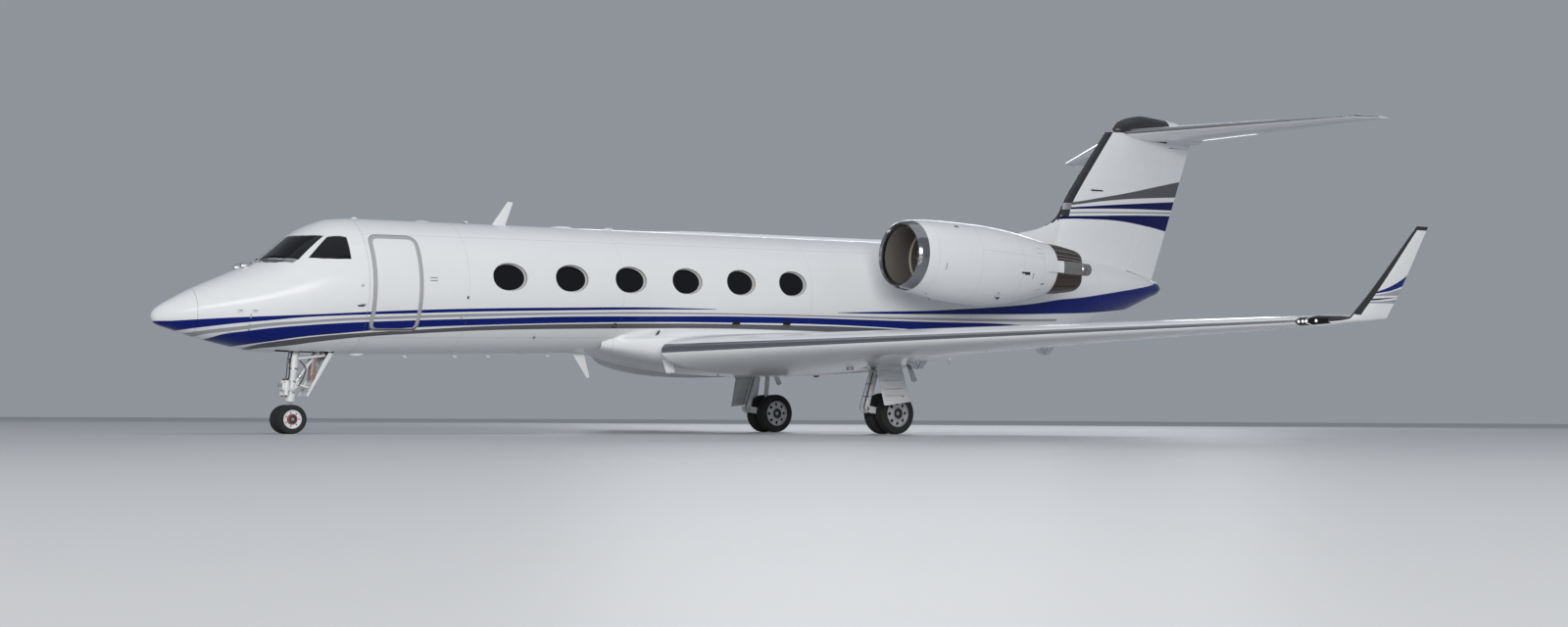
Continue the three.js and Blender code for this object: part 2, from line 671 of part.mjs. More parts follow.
function fairing() {
  const rings = FAIRING_SECTIONS.map(({ x, half, keel, shoulder, top }) => {
    const right = [
      [half * 0.55, keel + 6], [half * 0.85, keel + 70], [half * 0.97, keel + 170], [half, keel + 290],
      [half, shoulder], [Math.min(half, 1215), (shoulder + top) / 2 - 30], [Math.min(half, 1150), top],
    ];
    const left = [...right].reverse().map(([y, z]) => [-y, z]);
    return [...right, ...left].map(([y, z]) => v(x, y, z));
  });
  addPiece("wing_root_fairing", loft(rings).subtract(bodyClear), WHITE);
}

// Tailplane, elevators, fin, rudder and the round fairing on top
const TAIL_RAKE = { from: 4680, slope: 2.8 };
const tailLead = (y) => 23060 + 0.63 * y + TAIL_RAKE.slope * Math.max(0, y - TAIL_RAKE.from);
const tailTrail = (y) => 25960 + 0.226 * y;

function tailSection(y, extra = 0) {
  const across = Math.abs(y);
  const chord = tailTrail(across) - tailLead(across);
  return aerofoil({ lead: v(tailLead(across), y, TAILPLANE_HEIGHT), chord, ratio: TAIL_RATIO, extra });
}

const finLead = (z) => 19380 + 0.81 * z;
const finTrail = (z) => 23868 + 0.458 * z;

function finSection(z, extra = 0) {
  const chord = finTrail(z) - finLead(z);
  return aerofoil({ lead: v(finLead(z), 0, z), chord, ratio: TAIL_RATIO, up: v(0, 1, 0), extra });
}

// The room inside a surface, between two parts of its chord and clear of its skin
const HOLLOW = {
  parts: [0.12, 0.3, 0.6, 1], wall: 25, finTop: 3850, finFoot: 300, finAft: 0.66,
  planeHalf: 3900, planeAft: 0.55,
};

function hollowRing(lead, chord, aft, up) {
  const at = (part, side) => {
    const depth = Math.max(6, halfThickness(part, TAIL_RATIO) * chord - HOLLOW.wall);
    return lead.clone().add(v(part * chord, 0, 0)).addScaledVector(up, side * depth);
  };
  const places = HOLLOW.parts.map((part) => part * aft);
  return [
    ...places.map((part) => at(part, 1)),
    ...[...places].reverse().map((part) => at(part, -1)),
  ];
}

function finHollow() {
  return loft([HOLLOW.finFoot, HOLLOW.finTop].map((z) => {
    return hollowRing(v(finLead(z), 0, z), finTrail(z) - finLead(z), HOLLOW.finAft, v(0, 1, 0));
  }));
}

// Reached through a hatch at the middle, over the fin
function tailplaneHollow() {
  const room = loft([-HOLLOW.planeHalf, 0, HOLLOW.planeHalf].map((y) => {
    const lead = v(tailLead(Math.abs(y)), y, TAILPLANE_HEIGHT);
    return hollowRing(lead, tailTrail(Math.abs(y)) - lead.x, HOLLOW.planeAft, v(0, 0, 1));
  }));
  return room.add(box(23700, 24200, -90, 90, TAILPLANE_HEIGHT - 300, TAILPLANE_HEIGHT));
}

const BULLET_SECTIONS = [
  { x: 22920, top: 4270, keel: 4200, half: 30, wide: 4230 },
  { x: 23080, top: 4420, keel: 4060, half: 140, wide: 4230 },
  { x: 23400, top: 4545, keel: 3985, half: 215, wide: 4230 },
  { x: 23900, top: 4630, keel: 3960, half: 265, wide: 4230 },
  { x: 24700, top: 4590, keel: 3965, half: 265, wide: 4230 },
  { x: 25500, top: 4460, keel: 4000, half: 215, wide: 4230 },
  { x: 26100, top: 4330, keel: 4080, half: 120, wide: 4210 },
  { x: 26260, top: 4240, keel: 4160, half: 40, wide: 4200 },
];

// The ridge along the crown, which rises into the fin's leading edge
const DORSAL_SECTIONS = [
  { x: 8600, top: 1200, half: 120 },
  { x: 9400, top: 1246, half: 150 },
  { x: 16500, top: 1250, half: 160 },
  { x: 18000, top: 1285, half: 165 },
  { x: 19100, top: 1400, half: 170 },
  { x: 19900, top: 1600, half: 160 },
  { x: 20500, top: 1810, half: 140 },
  { x: 21100, top: 2140, half: 90 },
  { x: 21250, top: 2240, half: 50 },
];

function tail() {
  const halfSpan = TAILPLANE_SPAN / 2;
  const spans = [-halfSpan, -TAIL_RAKE.from, 0, TAIL_RAKE.from, halfSpan];
  const plane = loft(spans.map((y) => tailSection(y)));
  const planeClear = loft(spans.map((y) => tailSection(y, 0.5)));
  let fixed = plane.subtract(tailplaneHollow());
  for (const [name, side] of SIDES) {
    const from = v(25160, side * 400, TAILPLANE_HEIGHT);
    const to = v(26420, side * 4480, TAILPLANE_HEIGHT);
    const split = splitOnHinge(fixed, from, to, v(0, 0, 1), 62, 34);
    fixed = split.fixed;
    addPiece(`elevator_${name}`, split.moving, WHITE, pivot(`pivot_elevator_${name}`, from, to));
  }
  addPiece("tailplane", fixed, WHITE);

  const finWhole = loft([350, FIN_TOP].map((z) => finSection(z))).subtract(bodyClear).subtract(planeClear);
  const rudder = splitRudder(finWhole);
  addPiece("fin", largest(rudder.fixed.subtract(finHollow())), WHITE);
  addPiece("rudder", rudder.moving, WHITE, pivot("pivot_rudder", RUDDER.low, RUDDER.high));

  const finClear = loft([350, FIN_TOP + 50].map((z) => finSection(z, 0.5)));
  const bullet = loft(BULLET_SECTIONS.map((section) => bodyRing(section, 0, 16)));
  addPiece("fin_bullet", largest(bullet.subtract(planeClear).subtract(finClear)), WHITE);

  const ridge = loft(DORSAL_SECTIONS.map(({ x, top, half }) => {
    return bodyRing({ x, top, keel: 700, half, wide: 900 }, 0, 16);
  }));
  addPiece("dorsal_fairing", largest(ridge.subtract(bodyClear).subtract(finClear)), WHITE);
}

function largest(manifold) {
  return manifold.decompose().sort((a, b) => b.volume() - a.volume())[0];
}

// The rudder's hinge line leans aft; its lower end clears the tail cone and its upper end the fin
const RUDDER = {
  low: v(23160, 0, 800), high: v(24830, 0, 3870),
  topGap: 36, tailGap: 24, nose: 88, noseTop: 66,
};

function splitRudder(whole) {
  const up = v(0, 1, 0);
  const frame = hingeFrame(RUDDER.low, RUDDER.high, up);
  const length = RUDDER.low.distanceTo(RUDDER.high);
  const taper = new THREE.CylinderGeometry(RUDDER.noseTop, RUDDER.nose, length + 800, 24);
  taper.translate(0, length / 2, 0);
  const reach = RUDDER.nose + MOVING_GAP;
  const aft = box(0, 3000, -600, length + 600, -600, 600).add(solid(taper));
  const slot = box(-reach, 3100, -1200, length + 600, -600, 600);
  const limits = slab(0, 30000, -900, 900, -2000, RUDDER.high.z);
  const cavity = slab(0, 30000, -900, 900, -2000, RUDDER.high.z + RUDDER.topGap);
  const tailClear = fuselageBody(-RUDDER.tailGap);
  const pin = barIn(frame, v(0, 60, 0), v(0, length + 70, 0), 14);
  const socket = barIn(frame, v(0, -400, 0), v(0, length + 74, 0), 14.5);
  return {
    moving: largest(whole.intersect(placed(aft, frame)).intersect(limits).subtract(tailClear)).add(pin),
    fixed: whole.subtract(placed(slot, frame).intersect(cavity)).subtract(socket),
  };
}

// Engines: an intake lip, a nacelle with a duct through it, fan, core, nozzle and pylon
const NACELLE_SECTIONS = [
  { x: 0, top: 640, keel: -640, half: 640 },
  { x: 60, top: 682, keel: -682, half: 682 },
  { x: 220, top: 718, keel: -718, half: 718 },
  { x: 560, top: 752, keel: -790, half: 750 },
  { x: 1200, top: 775, keel: -890, half: 770 },
  { x: 2000, top: 772, keel: -930, half: 768 },
  { x: 2700, top: 730, keel: -880, half: 735 },
  { x: 3330, top: 655, keel: -760, half: 665 },
  { x: 3950, top: 560, keel: -600, half: 565 },
];
const DUCT_PROFILE = [
  [0, -60], [628, -60], [618, 20], [585, 120], [566, 380],
  [FAN_RADIUS + MOVING_GAP, 840], [FAN_RADIUS + MOVING_GAP, 1100],
  [680, 1500], [665, 2600], [590, 3330], [510, 4010], [0, 4010],
];
const NOZZLE = {
  start: 3950.3, waist: 4450, end: 4880, outer: [548, 455], wall: 26,
  arm: { inner: 440, outer: 590, half: 150, end: 4980 },
};
const PYLON = { x: 15120, z: 660, chord: 2860, ratio: 0.085, incidence: 2.4, inner: 1000, outer: 1900 };
const FAN = { tip: 70, shoulder: 150, hub: 185, front: 640, middle: 980, back: 1060, bore: 30.6 };
const STRUT = { x: 2000, chord: 260, thick: 40, reach: 720 };
const CORE = { front: 1090, waist: 2500, neck: 3550, back: 4050, radius: 330, shaft: 30 };

function engineFrame(side) {
  const frame = new THREE.Matrix4().makeRotationY(ENGINE.tilt);
  return frame.setPosition(ENGINE.x, side * ENGINE.y, ENGINE.z);
}

function engine(name, side) {
  const frame = engineFrame(side);
  const ringOf = (section, extra) => bodyRing({ ...section, wide: 0 }, -extra);
  const outer = loft(NACELLE_SECTIONS.map((section) => ringOf(section, 0)));
  const outerClear = loft(NACELLE_SECTIONS.map((section) => ringOf(section, GAP)));
  addPiece(`nacelle_${name}`, placed(outer.subtract(turned(DUCT_PROFILE)), frame), WHITE);

  addPiece(`exhaust_nozzle_${name}`, placed(exhaustNozzle(), frame), DARK_METAL);

  const shaftLine = [FAN.middle, FAN.middle + 1].map((x) => v(x, 0, 0).applyMatrix4(frame));
  const spin = pivot(`pivot_fan_${name}`, ...shaftLine);
  addPiece(`fan_${name}`, placed(fanWheel(), frame), DARK_METAL, spin);

  let core = turned([
    [0, 970], [CORE.shaft, 970], [CORE.shaft, CORE.front], [CORE.radius, CORE.front],
    [CORE.radius, CORE.waist], [280, CORE.neck], [150, CORE.back], [0, CORE.back],
  ]);
  const duct = turned(DUCT_PROFILE.map(([r, a]) => [Math.max(0, r - 0.5), a]));
  for (const quarter of [0, 1, 2, 3]) {
    const strut = new THREE.BoxGeometry(STRUT.chord, STRUT.thick, STRUT.reach);
    strut.translate(STRUT.x, 0, STRUT.reach / 2);
    strut.rotateX(quarter * Math.PI / 2);
    core = core.add(solid(strut).intersect(duct));
  }
  addPiece(`engine_${name}`, placed(core, frame), STEEL);

  const { x, z, chord, ratio, incidence, inner, outer: outerEnd } = PYLON;
  const pylon = loft([inner, outerEnd].map((y) => {
    return aerofoil({ lead: v(x, side * y, z), chord, ratio, incidence });
  }));
  const pylonFree = pylon.subtract(bodyClear).subtract(placed(outerClear, frame));
  addPiece(`pylon_${name}`, largest(pylonFree), WHITE);
}

// A tapering jet pipe with a fairing arm on each side
function exhaustNozzle() {
  const { start, end, waist, outer: [r0, r1], wall, arm } = NOZZLE;
  const mid = (r0 + r1) / 2 + 12;
  let nozzle = turned([
    [r0 - wall, start], [r0, start], [mid, waist], [r1, end],
    [r1 - wall, end], [mid - wall, waist], [r0 - wall, start],
  ], 24);
  for (const [y0, y1] of [[-arm.outer, -arm.inner], [arm.inner, arm.outer]]) {
    nozzle = nozzle.add(box(start, arm.end, y0, y1, -arm.half, arm.half));
  }
  return nozzle.subtract(turned([
    [0, start - 100], [r0 - wall, start - 100], [r0 - wall, start + 1],
    [r1 - wall - 1, end + 170], [0, end + 170],
  ], 24));
}

function fanWheel() {
  const { tip, shoulder, hub, front, middle, back, bore } = FAN;
  let fan = turned([
    [0, front], [tip, front + 40], [shoulder, front + 160], [hub, front + 260], [hub, back],
    [bore, back], [bore, middle - 20], [0, middle - 20],
  ], 20);
  const root = hub - 35;
  for (let index = 0; index < FAN_BLADES; index += 1) {
    const blade = new THREE.BoxGeometry(12, 100, FAN_RADIUS - root);
    blade.rotateZ(-0.75);
    blade.translate(middle, 0, (FAN_RADIUS + root) / 2);
    blade.rotateX(2 * Math.PI * index / FAN_BLADES);
    fan = fan.add(solid(blade));
  }
  return fan;
}

// Landing gear
const noseAxle = fromGround(NOSE_GEAR_X, 0, NOSE_TYRE.radius);
const noseUp = v(Math.sin(NOSE_LEAN), 0, Math.cos(NOSE_LEAN));
const onNoseLeg = (height) => noseAxle.clone().addScaledVector(noseUp, height);
const noseTop = onNoseLeg(1000);

function wheel({ radius, width, rim, bore }) {
  const half = width / 2;
  return turned([
    [bore, -half * 0.7], [rim * 0.5, -half * 0.7], [rim * 0.6, -half * 0.4], [rim, -half * 0.85],
    [radius * 0.86, -half], [radius, -half * 0.5],
    [radius, half * 0.5], [radius * 0.86, half],
    [rim, half * 0.85], [rim * 0.6, half * 0.4], [rim * 0.5, half * 0.7], [bore, half * 0.7],
    [bore, -half * 0.7],
  ], 24, "y");
}

function wheelPair(prefix, axle, tyre, names, spinName) {
  const spin = pivot(spinName, axle, axle.clone().add(v(0, 1, 0)));
  for (const [label, side] of names) {
    const turn = new THREE.Matrix4().makeRotationY(PITCH);
    const spot = turn.setPosition(axle.x, axle.y + side * tyre.spacing / 2, axle.z);
    addPiece(`${prefix}_${label}`, placed(wheel(tyre), spot), TYRE, spin);
  }
}

// Profiles turned about the nose leg's own line: radius, height above the axle
const NOSE_LEG = { outer: 62, sleeve: 72, bore: 39, piston: 38.5, top: 1420, foot: 300, trunnion: 1330 };
const BRACE = { lugAt: 520, lug: 34, lugLength: 230, bar: 26, below: 190, ahead: 60 };

function noseGear() {
  const lean = new THREE.Quaternion();
  lean.setFromUnitVectors(v(0, 1, 0), v(Math.sin(NOSE_LEAN), 0, Math.cos(NOSE_LEAN)));
  const frame = new THREE.Matrix4().compose(noseAxle, lean, v(1, 1, 1));
  const onLeg = (profile) => placed(turned(profile, 20, "y"), frame);
  const { outer, sleeve, bore, piston, top, foot, trunnion } = NOSE_LEG;
  const across = (x, half, z, radius) => bar(v(x, -half, z), v(x, half, z), radius);
  const bayHalf = BAY.half - 0.5;
  const hinge = onNoseLeg(trunnion);
  let leg = onLeg([
    [bore, foot], [sleeve, foot], [sleeve, foot + 130], [outer, foot + 140], [outer, top],
    [0, top], [0, foot + 320], [bore, foot + 320], [bore, foot],
  ]).add(across(hinge.x, bayHalf, hinge.z, 42));
  leg = leg.subtract(onLeg([[0, foot - 50], [bore, foot - 50], [bore, foot + 320], [0, foot + 320]]));
  const lug = onNoseLeg(BRACE.lugAt);
  const braceEnd = v(BAY.rear - BRACE.ahead, 0, BAY.roof - BRACE.below);
  const toBrace = braceEnd.clone().sub(lug).normalize();
  const onBrace = (distance) => lug.clone().addScaledVector(toBrace, distance);
  const lugClear = onLeg([[0, foot - 50], [50, foot - 50], [50, foot + 320], [0, foot + 320]]);
  leg = leg.add(bar(lug, onBrace(BRACE.lugLength), BRACE.lug).subtract(lugClear));
  addPiece("nose_leg", leg, WHITE);
  const brace = bar(onBrace(BRACE.lugLength + 0.5), braceEnd, BRACE.bar)
    .add(across(braceEnd.x, bayHalf, braceEnd.z, BRACE.bar));
  addPiece("nose_drag_brace", brace, WHITE);

  const steer = pivot("pivot_nose_steering", noseAxle, noseTop);
  const fork = onLeg([[0, -40], [48, -40], [48, 60], [piston, 70], [piston, foot + 300], [0, foot + 300]])
    .add(across(noseAxle.x, 245, noseAxle.z, NOSE_TYRE.bore - 0.5));
  addPiece("nose_fork", fork, STEEL, steer);
  wheelPair("nose_wheel", noseAxle, NOSE_TYRE, SIDES, "pivot_nose_wheels");
}

// The slot in the wing's underside that takes the top of a main leg
function legRecess(side) {
  const y = side * TRACK / 2;
  return box(13200, 14140, y - 75, y + 75, -2000, -1341.5);
}

// The trailing link: the knee ahead of the axle, the leg and the damper to the wing
const MAIN_LEG = {
  kneeAhead: 590, kneeRise: 110, kneeHalf: 62, kneeRadius: 85, radius: 70, linkRadius: 58,
  top: { x: 13640, z: -1400 }, trunnion: [13330, 14060], axleHalf: 300,
  damper: { ahead: 130, rise: 30, topX: 13900, radius: 42 },
};

const mainAxle = (side) => fromGround(NOSE_GEAR_X + WHEELBASE, side * TRACK / 2, MAIN_TYRE.radius);

// The door plate hangs from this line and leans outward at its foot
const LEG_DOOR = {
  y: 2455,
  z: -1530,
  lean: THREE.MathUtils.degToRad(17.4),
  thick: 15,
  outline: [[13290, -110], [13950, -110], [13970, -775], [13285, -840]],
  arm: { x: [13560, 13640], inner: 2150, outer: 2509, z: [-1740, -1710] },
};

function mainGear(name, side) {
  const axle = mainAxle(side);
  const { kneeAhead, kneeRise, kneeHalf, kneeRadius, radius, linkRadius, axleHalf, damper } = MAIN_LEG;
  const knee = v(axle.x - kneeAhead, axle.y, axle.z + kneeRise);
  const top = v(MAIN_LEG.top.x, axle.y, MAIN_LEG.top.z);
  const [trunnionFrom, trunnionTo] = MAIN_LEG.trunnion.map((x) => v(x, axle.y, top.z));
  const damperFoot = v(axle.x - damper.ahead, axle.y, axle.z + damper.rise);
  const sideways = (point, half, size) => {
    return bar(v(point.x, point.y - half, point.z), v(point.x, point.y + half, point.z), size);
  };
  const leg = bar(knee, top, radius).add(bar(trunnionFrom, trunnionTo, linkRadius))
    .add(sideways(knee, kneeHalf, kneeRadius))
    .add(bar(knee, axle, linkRadius))
    .add(sideways(axle, axleHalf, MAIN_TYRE.bore - 0.5))
    .add(bar(damperFoot, v(damper.topX, axle.y, top.z), damper.radius));
  addPiece(`main_leg_${name}`, leg, WHITE);
  const { y, z, lean, thick, outline, arm } = LEG_DOOR;
  const across = (from, to) => [Math.min(from, to), Math.max(from, to)];
  const hang = new THREE.Matrix4().makeRotationX(side * lean).setPosition(0, side * y, z);
  const door = placed(plateAcross(outline, ...across(0, -side * thick)), hang);
  const carrier = box(...arm.x, ...across(side * arm.inner, side * arm.outer), ...arm.z);
  const clear = bar(knee, top, radius + 0.5);
  addPiece(`main_leg_door_${name}`, door.add(carrier).subtract(clear), WHITE);
  const names = [["inner", -side], ["outer", side]];
  wheelPair(`main_wheel_${name}`, axle, MAIN_TYRE, names, `pivot_main_wheels_${name}`);
}

// Blade aerials over the crown and under the belly
const AERIAL = {
  half: 12,
  crown: [[6130, 1150], [6400, 1150], [6610, 1640], [6510, 1650]],
  belly: [[7780, -1150], [8060, -1150], [8190, -1670], [8130, -1680]],
};

function bladeAerials() {
  for (const place of ["crown", "belly"]) {
    const blade = plateAcross(AERIAL[place], -AERIAL.half, AERIAL.half);
    addPiece(`${place}_aerial`, blade.subtract(bodyClear), WHITE);
  }
}

fuselage();
door();
fairing();
for (const [name, side] of SIDES) {
  wing(name, side);
  winglet(name, side);
  engine(name, side);
  mainGear(name, side);
}
tail();
noseGear();
bladeAerials();

const aircraft = new THREE.Group();
aircraft.add(airframe);
aircraft.updateMatrixWorld(true);
const bounds = new THREE.Box3().setFromObject(aircraft, true);
airframe.position.x = -(bounds.min.x + bounds.max.x) / 2;

export default aircraft;
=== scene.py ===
import math

import bmesh
import bpy
import numpy as np
from mathutils import Matrix, Vector, interpolate
from mathutils.bvhtree import BVHTree


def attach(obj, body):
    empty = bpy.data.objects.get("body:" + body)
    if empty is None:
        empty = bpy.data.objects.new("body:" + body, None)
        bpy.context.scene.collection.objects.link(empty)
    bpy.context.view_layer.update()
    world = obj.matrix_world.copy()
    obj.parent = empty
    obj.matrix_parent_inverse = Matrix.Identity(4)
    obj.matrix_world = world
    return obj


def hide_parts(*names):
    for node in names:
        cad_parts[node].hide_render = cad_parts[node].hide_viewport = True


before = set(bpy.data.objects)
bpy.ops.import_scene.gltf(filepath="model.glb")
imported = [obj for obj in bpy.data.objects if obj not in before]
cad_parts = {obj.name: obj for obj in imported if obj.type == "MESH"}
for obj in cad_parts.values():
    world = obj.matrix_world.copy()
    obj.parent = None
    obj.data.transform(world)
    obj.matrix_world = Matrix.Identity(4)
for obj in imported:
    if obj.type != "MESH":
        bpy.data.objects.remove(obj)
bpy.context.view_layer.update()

scene = bpy.context.scene
sides = ((-1, "left"), (1, "right"))

# The aircraft is drawn in its own coordinates: x aft from the nose, y to starboard, z up
# from the cabin's centre line, all in metres. This places it on the ground, a little nose down.
attitude = {"pitch": -1.76, "shift": (-13.46864, 0, 2.489)}
toGround = (Matrix.Translation(attitude["shift"])
            @ Matrix.Rotation(math.radians(attitude["pitch"]), 4, "Y"))

# Camera, floor and light
view = {"place": (-21.149, -28.461, 0.311), "yaw": 35.80, "pitch": 3.561, "roll": 0.2736, "lens": 38.62}
camera = bpy.data.objects.new("camera", bpy.data.cameras.new("camera"))
camera.data.sensor_width = 36
camera.data.lens = view["lens"]
camera.data.clip_end = 500
camera.matrix_world = (Matrix.Translation(view["place"])
                       @ Matrix.Rotation(math.radians(-view["yaw"]), 4, "Z")
                       @ Matrix.Rotation(math.radians(90 + view["pitch"]), 4, "X")
                       @ Matrix.Rotation(math.radians(view["roll"]), 4, "Z"))
scene.collection.objects.link(camera)
scene.camera = camera

studio = {"sky": (0.50, 0.54, 0.60), "skyStrength": 0.55, "floor": (0.56, 0.565, 0.58), "floorSize": 400}
sky = bpy.data.worlds.new("studio")
sky.use_nodes = True
sky.node_tree.nodes["Background"].inputs["Color"].default_value = (*studio["sky"], 1)
sky.node_tree.nodes["Background"].inputs["Strength"].default_value = studio["skyStrength"]
scene.world = sky
scene.view_settings.view_transform = "Standard"


def softLight(name, place, aim, size, power, colour=(1, 1, 1)):
    lamp = bpy.data.lights.new(name, "AREA")
    lamp.shape = "RECTANGLE"
    lamp.size, lamp.size_y = size
    lamp.energy = power
    lamp.color = colour
    holder = bpy.data.objects.new(name, lamp)
    away = Vector(aim) - Vector(place)
    holder.matrix_world = Matrix.Translation(place) @ away.to_track_quat("-Z", "Y").to_matrix().to_4x4()
    scene.collection.objects.link(holder)


softLight("keyLight", (-28, -46, 13), (-2, 0, 2.0), (40, 13), 14500, (1, 0.985, 0.96))
softLight("overheadLight", (0, -8, 40), (0, 0, 2), (60, 40), 3000)
softLight("backLight", (34, 36, 16), (2, 0, 3), (34, 12), 4400, (0.95, 0.97, 1))
print("stage 1: camera and lights")


# Shader nodes
def node(tree, kind, inputs, **settings):
    made = tree.nodes.new(kind)
    for key, value in settings.items():
        setattr(made, key, value)
    for key, value in inputs.items():
        if isinstance(value, bpy.types.NodeSocket):
            tree.links.new(value, made.inputs[key])
        else:
            made.inputs[key].default_value = value
    return made


def maths(tree, operation, a, b=0.0, clamp=False):
    return node(tree, "ShaderNodeMath", {0: a, 1: b}, operation=operation, use_clamp=clamp).outputs[0]


def mixColour(tree, factor, a, b):
    a, b = (c if isinstance(c, bpy.types.NodeSocket) else (*c, 1) for c in (a, b))
    return node(tree, "ShaderNodeMix", {0: factor, 6: a, 7: b}, data_type="RGBA").outputs[2]


def groupOf(name, inputs, outputs, build):
    tree = bpy.data.node_groups.new(name, "ShaderNodeTree")
    for label, kind, value in inputs:
        socket = tree.interface.new_socket(label, in_out="INPUT", socket_type=kind)
        if value is not None:
            socket.default_value = value
    for label, kind in outputs:
        tree.interface.new_socket(label, in_out="OUTPUT", socket_type=kind)
    given, result = tree.nodes.new("NodeGroupInput"), tree.nodes.new("NodeGroupOutput")
    for label, socket in build(tree, given.outputs).items():
        tree.links.new(socket, result.inputs[label])
    return tree


def buildGrime(tree, given):
    place = given["Place"]
    stretched = node(tree, "ShaderNodeMapping", {"Vector": place, "Scale": (0.35, 1.2, 2.6)}).outputs[0]
    streaks = node(tree, "ShaderNodeTexNoise", {"Vector": stretched, "Scale": given["Scale"], "Detail": 6.0,
                                                "Roughness": 0.62}).outputs[0]
    fine = node(tree, "ShaderNodeTexNoise", {"Vector": place, "Scale": maths(tree, "MULTIPLY", given["Scale"], 9.0),
                                             "Detail": 4.0}).outputs[0]
    mask = maths(tree, "MULTIPLY", maths(tree, "SUBTRACT", streaks, 0.42, True), given["Amount"])
    speck = maths(tree, "MULTIPLY", maths(tree, "SUBTRACT", fine, 0.45, True), given["Amount"])
    dirt = maths(tree, "ADD", mask, maths(tree, "MULTIPLY", speck, 0.5), True)
    shine = maths(tree, "ADD", given["Roughness"], maths(tree, "MULTIPLY", dirt, 0.6), True)
    return {"Dirt": dirt, "Roughness": shine, "Height": fine}


grime = groupOf(
    "grime",
    [("Place", "NodeSocketVector", None), ("Scale", "NodeSocketFloat", 1.0), ("Amount", "NodeSocketFloat", 0.3),
     ("Roughness", "NodeSocketFloat", 0.2)],
    [("Dirt", "NodeSocketFloat"), ("Roughness", "NodeSocketFloat"), ("Height", "NodeSocketFloat")],
    buildGrime)


# Object coordinates turned into the aircraft's own
def airframePlace(tree):
    seen = tree.nodes.new("ShaderNodeTexCoord").outputs["Object"]
    turned = node(tree, "ShaderNodeMapping", {"Vector": seen, "Location": attitude["shift"],
                                              "Rotation": (0, math.radians(attitude["pitch"]), 0)},
                  vector_type="TEXTURE").outputs[0]
    return turned


# A material with streaky grime, and a hook that lays a livery over its colour
def finish(name, colour, roughness=0.4, metallic=0.0, coat=0.0, dirt=0.25, scale=1.0, bump=0.0,
           dirtColour=(0.05, 0.045, 0.04),
           paint=None, **sockets):
    made = bpy.data.materials.new(name)
    made.use_nodes = True
    tree = made.node_tree
    shader = tree.nodes["Principled BSDF"]
    place = airframePlace(tree)
    worn = {"Place": place, "Scale": scale, "Amount": dirt, "Roughness": roughness}
    wear = node(tree, "ShaderNodeGroup", worn, node_tree=grime).outputs
    base = paint(tree, place, colour) if paint else colour
    tree.links.new(mixColour(tree, maths(tree, "MULTIPLY", wear["Dirt"], 0.5), base, dirtColour),
                   shader.inputs["Base Color"])
    tree.links.new(wear["Roughness"], shader.inputs["Roughness"])
    shader.inputs["Metallic"].default_value = metallic
    shader.inputs["Coat Weight"].default_value = coat
    shader.inputs["Coat Roughness"].default_value = 0.04
    for key, value in sockets.items():
        shader.inputs[key].default_value = value
    if bump:
        lumps = node(tree, "ShaderNodeBump", {"Height": wear["Height"], "Strength": 0.5, "Distance": bump})
        tree.links.new(lumps.outputs[0], shader.inputs["Normal"])
    return made


# Livery
livery = {
    "white": (0.84, 0.85, 0.86), "blue": (0.0, 0.009, 0.165), "navy": (0.0, 0.003, 0.085),
    "grey": (0.36, 0.37, 0.39), "darkGrey": (0.115, 0.115, 0.125), "line": (0.20, 0.21, 0.23),
}
